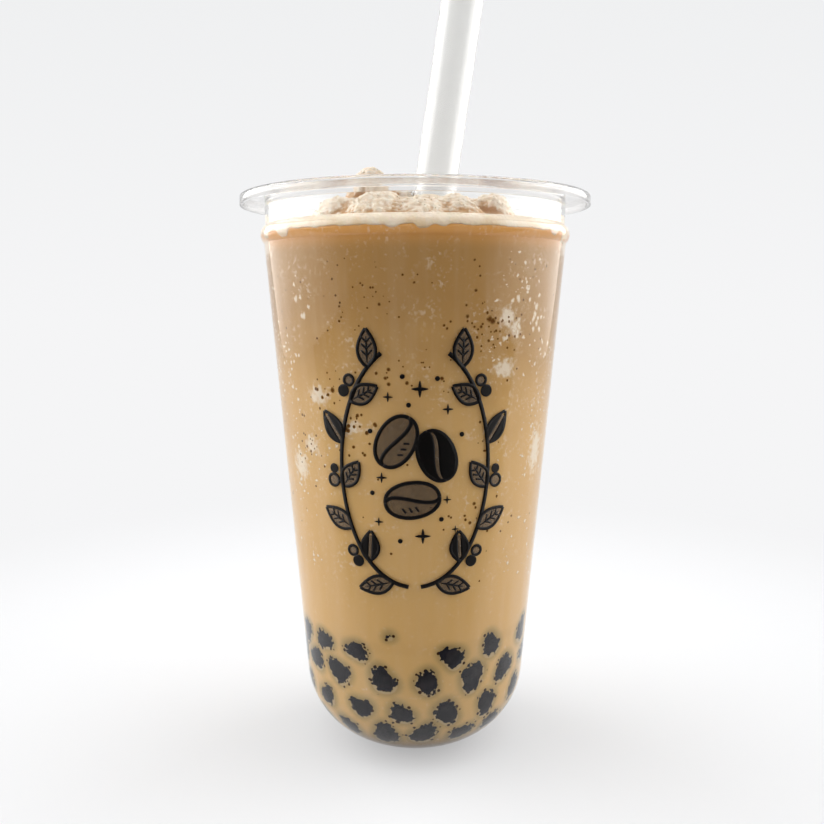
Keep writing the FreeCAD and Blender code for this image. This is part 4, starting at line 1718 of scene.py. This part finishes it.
@dataclass
class Print:
    """Generic line design on the cup's front: two coffee sprigs round three beans."""

    bore: Bore
    middle_height: float = 84.0
    half_wide: float = 19.0
    half_tall: float = 31.0
    line: float = 0.95
    fine_line: float = 0.5
    rib_line: float = 0.6
    vein_line: float = 0.45
    rib_gap: float = 0.38
    lift: float = 0.03
    film: float = 0.03
    mesh_step: float = 0.5
    stem_start: float = 0.08
    stem_turn: float = 2.62
    leaves: int = 7
    leaf_lengths: Flat = (9.2, 8.0)
    leaf_leans: Flat = (0.75, -0.7)
    leaf_wide: float = 4.6
    leaf_steps: int = 22
    vein_places: Point = (0.3, 0.48, 0.66)
    mark_places: Point = (0.3, 0.42, 0.54)
    berry: float = 1.55
    small_berry: float = 1.25
    dot: float = 0.6
    beans: tuple[Bean, ...] = (
        Bean((-4.6, 6.5), 62.0, 13.5, 9.2),
        Bean((5.4, 3.0), 112.0, 13.0, 9.0, solid=True),
        Bean((-0.6, -8.2), 8.0, 13.5, 9.0),
    )
    stars: tuple[Point, ...] = (
        (-8.2, -2.6, 1.3), (8.0, -8.2, 1.0), (-6.5, 17.5, 1.2), (1.2, 19.5, 2.0),
        (8.0, 14.5, 1.3), (-9.0, -14.0, 1.1), (2.0, -17.5, 1.9), (10.2, -16.0, 0.9),
    )
    dots: tuple[Flat, ...] = (
        (-3.0, 22.5), (5.4, 22.0), (-1.5, 15.6), (-11.0, 9.0),
        (11.6, 8.2), (-3.6, -18.8), (6.6, -13.2), (-10.6, -6.6),
    )
    black: list[Skin] = field(default_factory=list)
    grey: list[Skin] = field(default_factory=list)

    def on_wall(self, across: float, up: float) -> Vector:
        """Lay a point of the design on the cup's outside.

        Args:
            across: Millimetres to the right of the design's middle.
            up: Millimetres above it.

        Returns:
            The point in metres.
        """
        height = self.middle_height + up
        radius = self.bore.outside(height)
        return on_turn(math.degrees(across / radius), radius + self.lift, height)

    def fill(self, left: Sequence[Flat], right: Sequence[Flat], ink: list[Skin]) -> None:
        """Fill the space between two edges that run the same way.

        Args:
            left: Points of one edge.
            right: As many points of the other edge.
            ink: The list of parts that the filled space joins.
        """
        widest = max(math.dist(a, b) for a, b in zip(left, right))
        columns = max(2, round(widest / self.mesh_step) + 1)
        points = []
        for first, second in zip(left, right):
            for column in range(columns):
                share = column / (columns - 1)
                across = first[0] + (second[0] - first[0]) * share
                points.append(self.on_wall(across, first[1] + (second[1] - first[1]) * share))
        ink.append((np.array(points), grid_faces(len(left), columns, closed=False)))

    def stroke(self, path: Sequence[Flat], width: float, taper: bool = False) -> None:
        """Draw a line with the pen.

        Args:
            path: The points that it follows.
            width: Its width in millimetres.
            taper: Whether it thins towards both ends.
        """
        half = width / 2
        left, right = [], []
        for number, point in enumerate(path):
            before, after = path[max(number - 1, 0)], path[min(number + 1, len(path) - 1)]
            angle = math.atan2(after[1] - before[1], after[0] - before[0]) + math.pi / 2
            share = number / (len(path) - 1)
            reach = half * (0.25 + 0.75 * math.sin(math.pi * share)) if taper else half
            side = (math.cos(angle) * reach, math.sin(angle) * reach)
            left.append((point[0] + side[0], point[1] + side[1]))
            right.append((point[0] - side[0], point[1] - side[1]))
        self.fill(left, right, self.black)

    @staticmethod
    def curve(shape: Callable[[float], Flat], steps: int) -> list[Flat]:
        """Points along a shape given from 0 to 1."""
        return [shape(step / steps) for step in range(steps + 1)]

    @staticmethod
    def placed(point: Flat, at: Flat, angle: float) -> Flat:
        """Turn a point and move it to its place."""
        cos, sin = math.cos(angle), math.sin(angle)
        return (at[0] + point[0] * cos - point[1] * sin, at[1] + point[0] * sin + point[1] * cos)

    def leaf(self, at: Flat, angle: float, length: float, solid: bool) -> None:
        """One leaf, full or in outline with its midrib and side veins.

        Args:
            at: Where it grows from.
            angle: The way it points.
            length: How long it is.
            solid: Whether it is full.
        """
        wide = self.leaf_wide

        def edge(side: float) -> list[Flat]:
            """One side of the outline, fullest near the stem.

            Args:
                side: 1 for the upper side and -1 for the lower one.

            Returns:
                Its points.
            """
            return self.curve(lambda t: self.placed(
                (length * t, side * wide / 2 * math.sin(math.pi * t) ** 0.8 * (1.25 - 0.5 * t)), at, angle),
                self.leaf_steps)

        def beside_rib(off: float) -> list[Flat]:
            """Line along the leaf, a little to one side of its midrib."""
            return self.curve(lambda t: self.placed((length * t, off), at, angle), self.leaf_steps)

        upper, lower = edge(1), edge(-1)
        if solid:
            gap, far = beside_rib(self.rib_gap), beside_rib(-self.rib_gap)
            self.fill(upper[1:-3], gap[1:-3], self.black)
            self.fill(far[1:-3], lower[1:-3], self.black)
            self.fill(gap[1:-3], far[1:-3], self.grey)
            self.stroke(beside_rib(0.0)[:2], self.fine_line)
        else:
            self.fill(upper, lower, self.grey)
            rib = self.curve(lambda t: self.placed((length * t, 0), at, angle), 10)
            self.stroke(rib[1:9], self.rib_line, taper=True)
            for share in self.vein_places:
                for side in (1, -1):
                    vein = self.curve(lambda t: self.placed(
                        (length * (share + 0.14 * t), side * wide * 0.3 * t), at, angle), 4)
                    self.stroke(vein, self.vein_line)
        self.stroke(upper, self.line * 0.85)
        self.stroke(lower, self.line * 0.85)

    def disc(self, at: Flat, reach: float, solid: bool) -> None:
        """A round berry or dot, full or in outline.

        Args:
            at: Its middle.
            reach: Its radius.
            solid: Whether it is full.
        """
        def half(side: float) -> list[Flat]:
            """The upper or the lower half of its edge."""
            return self.curve(lambda t: (at[0] - reach * math.cos(math.pi * t),
                                         at[1] + side * reach * math.sin(math.pi * t)), 20)

        self.fill(half(1), half(-1), self.black if solid else self.grey)
        if not solid:
            ring = self.curve(lambda t: (at[0] + reach * math.cos(2 * math.pi * t),
                                         at[1] + reach * math.sin(2 * math.pi * t)), 36)
            self.stroke(ring, self.line * 0.8)

    def draw_bean(self, bean: Bean) -> None:
        """Draw one coffee bean, with the bent slit along its face.

        Args:
            bean: Where it lies and how large it is.
        """
        angle = math.radians(bean.turn)

        def edge(side: float) -> list[Flat]:
            """One half of the outline.

            Args:
                side: 1 for the upper half and -1 for the lower one.

            Returns:
                Its points.
            """
            return self.curve(lambda t: self.placed(
                (-bean.length / 2 * math.cos(math.pi * t),
                 side * bean.wide / 2 * math.sin(math.pi * t) ** 0.9),
                bean.at, angle), 30)

        def slit(shift: float) -> list[Flat]:
            """The slit, or a line beside it.

            Args:
                shift: How far its middle lies beside the slit.

            Returns:
                Its points.
            """
            return self.curve(lambda t: self.placed(
                (-bean.length / 2 * math.cos(math.pi * t),
                 bean.wide * 0.13 * math.sin(2 * math.pi * t) + shift * math.sin(math.pi * t)),
                bean.at, angle), 30)

        upper, lower = edge(1), edge(-1)
        if bean.solid:
            self.fill(upper, slit(0.5), self.black)
            self.fill(slit(-0.5), lower, self.black)
            self.fill(slit(0.5), slit(-0.5), self.grey)
        else:
            self.fill(upper, lower, self.grey)
            self.stroke(slit(0.0)[1:-1], self.line)
            for share in self.mark_places:
                mark = self.curve(lambda t: self.placed(
                    (bean.length * (share - 0.5 + 0.05 * t), -bean.wide * (0.2 + 0.14 * t)),
                    bean.at, angle), 4)
                self.stroke(mark, self.fine_line)
        self.stroke(upper, self.line)
        self.stroke(lower, self.line)

    def sparkle(self, at: Flat, reach: float) -> None:
        """A small four-pointed star.

        Args:
            at: Its middle.
            reach: How far its points reach.
        """
        for angle in (0.0, math.pi / 2):
            ray = self.curve(lambda t: self.placed((reach * (2 * t - 1), 0), at, angle), 10)
            self.stroke(ray, reach * 0.45, taper=True)

    def sprig(self, side: float) -> None:
        """One branch of the wreath, with leaves and berries.

        Args:
            side: 1 for the right branch and -1 for the left one.
        """
        def stem(share: float) -> Flat:
            """Point of the stem, from its foot to its tip."""
            angle = -math.pi / 2 + side * (self.stem_start + self.stem_turn * share)
            return (self.half_wide * math.cos(angle), self.half_tall * math.sin(angle))

        self.stroke(self.curve(stem, 60), self.line * 1.15)
        for number in range(self.leaves):
            share = 0.08 + 0.84 * number / (self.leaves - 1)
            here, ahead = stem(share), stem(share + 0.02)
            along = math.atan2(ahead[1] - here[1], ahead[0] - here[0])
            lean = -side * self.leaf_leans[number % 2]
            self.leaf(here, along + lean, self.leaf_lengths[number % 2], solid=number % 3 == 1)
            if number % 2:
                near = self.placed((1.6, -side * 2.6), here, along)
                self.disc(near, self.berry, solid=number % 4 == 1)
                far = self.placed((4.6, -side * 2.2), here, along)
                self.disc(far, self.small_berry, solid=number % 4 == 3)

    def build(self) -> None:
        """Draw the whole design and make its two inks, the black one as the thicker film."""
        for side in (1.0, -1.0):
            self.sprig(side)
        for bean in self.beans:
            self.draw_bean(bean)
        for across, up, reach in self.stars:
            self.sparkle((across, up), reach)
        for dot in self.dots:
            self.disc(dot, self.dot, solid=True)
        for name, ink, finish, coats in (("print_lines", self.black, ScreenInk(), 2.0),
                                         ("print_tint", self.grey, ScreenTint(), 1.0)):
            points, faces = joined(ink)
            piece = make_piece(name, points, faces, finish)
            film = piece.modifiers.new("film", "SOLIDIFY")
            film.thickness = self.film * coats * MM
            film.offset = 1.0
            settle(piece)


@dataclass(frozen=True)
class PaperSweep(Finish):
    """Seamless backdrop paper, matt: its own colour far off, and the cup's shadow close by.

    In front of the cup it carries painted shade, dark to all but the camera, which keeps the front of
    the glossy wall free of reflections.
    """

    name: str = "backdrop_paper_matt"
    colour: str = "#E3E5E8"
    glow: str = "#F5F5F6"
    glow_high: str = "#EDEEEF"
    # painted shade on the paper in front of the cup
    front_shade: str = "#2A2A2A"
    high_span: Flat = (0.1, 0.7)
    shadow_span: Flat = (0.09, 0.3)
    front_shade_span: Flat = (-0.045, -0.08)
    own_tone: float = 0.42

    def own_share(self, tree: Tree, place: Socket, path: bpy.types.Node) -> Socket:
        """How far the paper shows its own colour in place of the light that falls on it.

        Args:
            tree: The material's node tree.
            place: The place in the object.
            path: The node that tells what sees the paper.

        Returns:
            The socket that gives the share, which is less near the cup.
        """
        seen = path.outputs["Is Camera Ray"]
        for ray in ("Is Glossy Ray", "Is Transmission Ray"):
            seen = add_node(tree, "Math", {0: seen, 1: path.outputs[ray]}, operation="MAXIMUM").outputs[0]
        length = add_node(tree, "VectorMath", {0: place}, operation="LENGTH").outputs["Value"]
        joins = {"Value": length, "From Min": self.shadow_span[0], "From Max": self.shadow_span[1],
                 "To Min": self.own_tone}
        tone = add_node(tree, "MapRange", joins, interpolation_type="SMOOTHSTEP").outputs["Result"]
        return add_node(tree, "Math", {0: seen, 1: tone}, operation="MULTIPLY").outputs[0]

    def front_shade_share(self, tree: Tree, toward: Socket, path: bpy.types.Node) -> Socket:
        """How far the paper carries painted shade in front of the cup.

        Args:
            tree: The material's node tree.
            toward: How far back the place is.
            path: The node that tells what sees the paper.

        Returns:
            The socket that gives the share, none where the camera sees the paper.
        """
        joins = {"Value": toward, "From Min": self.front_shade_span[0], "From Max": self.front_shade_span[1]}
        near = add_node(tree, "MapRange", joins, interpolation_type="SMOOTHSTEP").outputs["Result"]
        joins = {0: path.outputs["Is Camera Ray"], 1: path.outputs["Is Transmission Ray"]}
        straight = add_node(tree, "Math", joins, operation="MAXIMUM").outputs[0]
        unseen = add_node(tree, "Math", {0: 1.0, 1: straight}, operation="SUBTRACT").outputs[0]
        return add_node(tree, "Math", {0: near, 1: unseen}, operation="MULTIPLY").outputs[0]

    def make(self) -> bpy.types.Material:
        """Even and pale, with a soft shadow round the cup's foot.

        Returns:
            The material.
        """
        material, tree = self.start()
        place = add_node(tree, "TexCoord").outputs["Object"]
        sides = add_node(tree, "SeparateXYZ", {0: place}).outputs
        path = add_node(tree, "LightPath")
        matt = add_node(tree, "BsdfDiffuse", {"Color": linear(self.colour)}).outputs[0]
        joins = {"Value": sides["Z"], "From Min": self.high_span[0], "From Max": self.high_span[1]}
        rise = add_node(tree, "MapRange", joins).outputs["Result"]
        hues = {0: rise, 6: linear(self.glow), 7: linear(self.glow_high)}
        hue = add_node(tree, "Mix", hues, data_type="RGBA").outputs[2]
        own = add_node(tree, "Emission", {"Color": hue, "Strength": 1.0}).outputs[0]
        joins = {0: self.own_share(tree, place, path), 1: matt, 2: own}
        paper = add_node(tree, "MixShader", joins).outputs[0]
        # painted shade in front of the cup, seen only by reflections and bounced light
        black = add_node(tree, "BsdfDiffuse", {"Color": linear(self.front_shade)}).outputs[0]
        joins = {0: self.front_shade_share(tree, sides["Y"], path), 1: paper, 2: black}
        self.end(tree, add_node(tree, "MixShader", joins).outputs[0])
        return material


@dataclass(frozen=True)
class SoftRoom:
    """The room round the cup: dark in front, pale at the sides, with a soft glow low on either side."""

    tone: str = "#FFFDFA"
    seen_tone: str = "#F5F5F6"
    front: float = 0.03
    side: float = 1.0
    glow: float = 1.25
    paper: float = 0.95
    front_span: Flat = (-0.8, 0.1)
    glow_way: Flat = (0.91, 0.42)
    glow_span: Flat = (0.4, 0.98)
    horizon_span: Flat = (-0.2, -0.02)

    def level(self, tree: Tree) -> Socket:
        """How bright the room is in each direction.

        Args:
            tree: The world's node tree.

        Returns:
            The socket that gives the brightness. Below the horizon it is no more than the paper's.
        """
        way = add_node(tree, "SeparateXYZ", {0: add_node(tree, "TexCoord").outputs["Generated"]}).outputs
        joins = {"Value": way["Y"], "From Min": self.front_span[0], "From Max": self.front_span[1],
                 "To Min": self.front, "To Max": self.side}
        even = add_node(tree, "MapRange", joins, interpolation_type="SMOOTHSTEP").outputs["Result"]
        aside = add_node(tree, "Math", {0: way["X"]}, operation="ABSOLUTE").outputs[0]
        aside = add_node(tree, "Math", {0: aside, 1: self.glow_way[0]}, operation="MULTIPLY").outputs[0]
        joins = {0: way["Y"], 1: self.glow_way[1], 2: aside}
        facing = add_node(tree, "Math", joins, operation="MULTIPLY_ADD").outputs[0]
        joins = {"Value": facing, "From Min": self.glow_span[0], "From Max": self.glow_span[1],
                 "To Max": self.glow}
        glow = add_node(tree, "MapRange", joins, interpolation_type="SMOOTHSTEP").outputs["Result"]
        glowing = add_node(tree, "Math", {0: even, 1: glow}, operation="ADD").outputs[0]
        paper = add_node(tree, "Math", {0: glowing, 1: self.paper}, operation="MINIMUM").outputs[0]
        joins = {"Value": way["Z"], "From Min": self.horizon_span[0], "From Max": self.horizon_span[1]}
        above = add_node(tree, "MapRange", joins, interpolation_type="SMOOTHSTEP").outputs["Result"]
        return add_node(tree, "Mix", {0: above, 2: paper, 3: glowing}).outputs[0]

    def make(self) -> bpy.types.World:
        """Make the room, which the camera sees as even and pale as the paper.

        Returns:
            The world.
        """
        world = bpy.data.worlds.new("soft_room")
        world.use_nodes = True
        tree = world.node_tree
        tree.nodes.clear()
        joins = {"Color": linear(self.tone), "Strength": self.level(tree)}
        room = add_node(tree, "Background", joins).outputs[0]
        pale = add_node(tree, "Background", {"Color": linear(self.seen_tone), "Strength": 1.0}).outputs[0]
        path = add_node(tree, "LightPath")
        joins = {0: path.outputs["Is Camera Ray"], 1: path.outputs["Is Transmission Ray"]}
        seen = add_node(tree, "Math", joins, operation="MAXIMUM").outputs[0]
        sky = add_node(tree, "MixShader", {0: seen, 1: room, 2: pale}).outputs[0]
        add_node(tree, "OutputWorld", {"Surface": sky})
        return world


@dataclass(frozen=True)
class Softbox:
    """One soft lamp that faces the middle of the cup.

    Its place and size are in metres. A spread of less than 180 degrees fades its edges in reflections.
    """

    name: str
    place: Point
    size: Flat
    watts: float
    spread: float

    def hang(self) -> None:
        """Put the lamp in its place."""
        light = bpy.data.lights.new(self.name, "AREA")
        light.shape = "RECTANGLE"
        light.size, light.size_y = self.size
        light.energy = self.watts
        light.spread = math.radians(self.spread)
        lamp = bpy.data.objects.new(self.name, light)
        lamp.location = self.place
        target = Vector((0, 0, 0.08))
        lamp.rotation_euler = (target - Vector(self.place)).to_track_quat("-Z", "Y").to_euler()
        bpy.context.scene.collection.objects.link(lamp)


@dataclass
class Studio:
    """A pale seamless sweep, soft lamps round the cup, and the camera."""

    sweep_near: float = 0.7
    sweep_far: float = 0.9
    sweep_radius: float = 0.35
    sweep_wide: float = 1.4
    sweep_high: float = 1.8
    sweep_steps: int = 12
    lamps: tuple[Softbox, ...] = (
        Softbox("left_softbox", (-1.15, 0.35, 0.62), (2.6, 0.9), 7.4, 110.0),
        Softbox("right_softbox", (1.15, 0.35, 0.62), (2.6, 0.9), 6.3, 110.0),
        Softbox("top_softbox", (0.0, 0.15, 1.1), (1.1, 0.9), 3.4, 180.0),
    )
    camera_away: float = 0.2333
    camera_height: float = 0.1246
    camera_pitch: float = 7.77
    camera_yaw: float = 0.2
    lens: float = 36.0

    def build_sweep(self) -> None:
        """Make the paper sweep: flat under the cup, then curving up behind it."""
        bend = self.sweep_far - self.sweep_radius
        line = [(-self.sweep_near, 0.0), (bend, 0.0)]
        for step in range(1, self.sweep_steps + 1):
            angle = math.pi / 2 * step / self.sweep_steps
            far, up = math.sin(angle), 1 - math.cos(angle)
            line.append((bend + self.sweep_radius * far, self.sweep_radius * up))
        line.append((self.sweep_far, self.sweep_high))
        points = [(side * self.sweep_wide / 2, far, up) for far, up in line for side in (-1, 1)]
        mesh = bpy.data.meshes.new("paper_sweep")
        mesh.from_pydata(points, [], [(2 * n, 2 * n + 1, 2 * n + 3, 2 * n + 2) for n in range(len(line) - 1)])
        mesh.polygons.foreach_set("use_smooth", [True] * len(mesh.polygons))
        mesh.materials.append(PaperSweep().make())
        sweep = bpy.data.objects.new("paper_sweep", mesh)
        bpy.context.scene.collection.objects.link(sweep)
        log.info("paper_sweep: %d faces", len(mesh.polygons))

    def build_camera(self) -> None:
        """Set the camera in front, a little below the rim and looking slightly down."""
        view = bpy.data.cameras.new("front")
        view.lens = self.lens
        view.sensor_width = 36.0
        view.clip_start = 0.01
        camera = bpy.data.objects.new("front", view)
        camera.location = (0.0, -self.camera_away, self.camera_height)
        tilt = math.radians(90 - self.camera_pitch)
        camera.rotation_euler = (tilt, 0.0, math.radians(self.camera_yaw))
        bpy.context.scene.collection.objects.link(camera)
        bpy.context.scene.camera = camera

    def build(self) -> None:
        """Make the whole studio: light from both sides, behind and above, with little from the front."""
        self.build_sweep()
        bpy.context.scene.world = SoftRoom().make()
        for lamp in self.lamps:
            lamp.hang()
        self.build_camera()
        bpy.context.scene.view_settings.view_transform = "Standard"


def dress_node(node: str, finish: Finish) -> None:
    """Give a solid that stays in view its finish.

    Args:
        node: The solid's node.
        finish: What it is made of.
    """
    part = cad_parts[node]
    part.data.materials.clear()
    part.data.materials.append(finish.make())
    for face in part.data.polygons:
        face.material_index = 0
    log.info("%s: dressed as %s", node, finish.name)


def main() -> None:
    """Build the drink from the inside out, then the studio."""
    logging.basicConfig(level=logging.INFO, format="%(name)s %(message)s")
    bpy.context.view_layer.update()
    bore = Bore()
    straw = StrawLine()
    pearls = Pearls()
    pearls.settle_down()
    surface = Drink(bore, pearls).build()
    pearls.build(surface, bore)
    things = WallThings(bore, surface)
    things.build_bubbles()
    things.build_flecks()
    FoamHead(bore, straw).build()
    heap = SlushHeap(straw, bore)
    heap.build_grains(heap.build())
    Print(bore).build()
    dress_node("cup", ClearCup())
    dress_node("straw", TranslucentStraw())
    Studio().build()


if __name__ == "__main__":
    main()
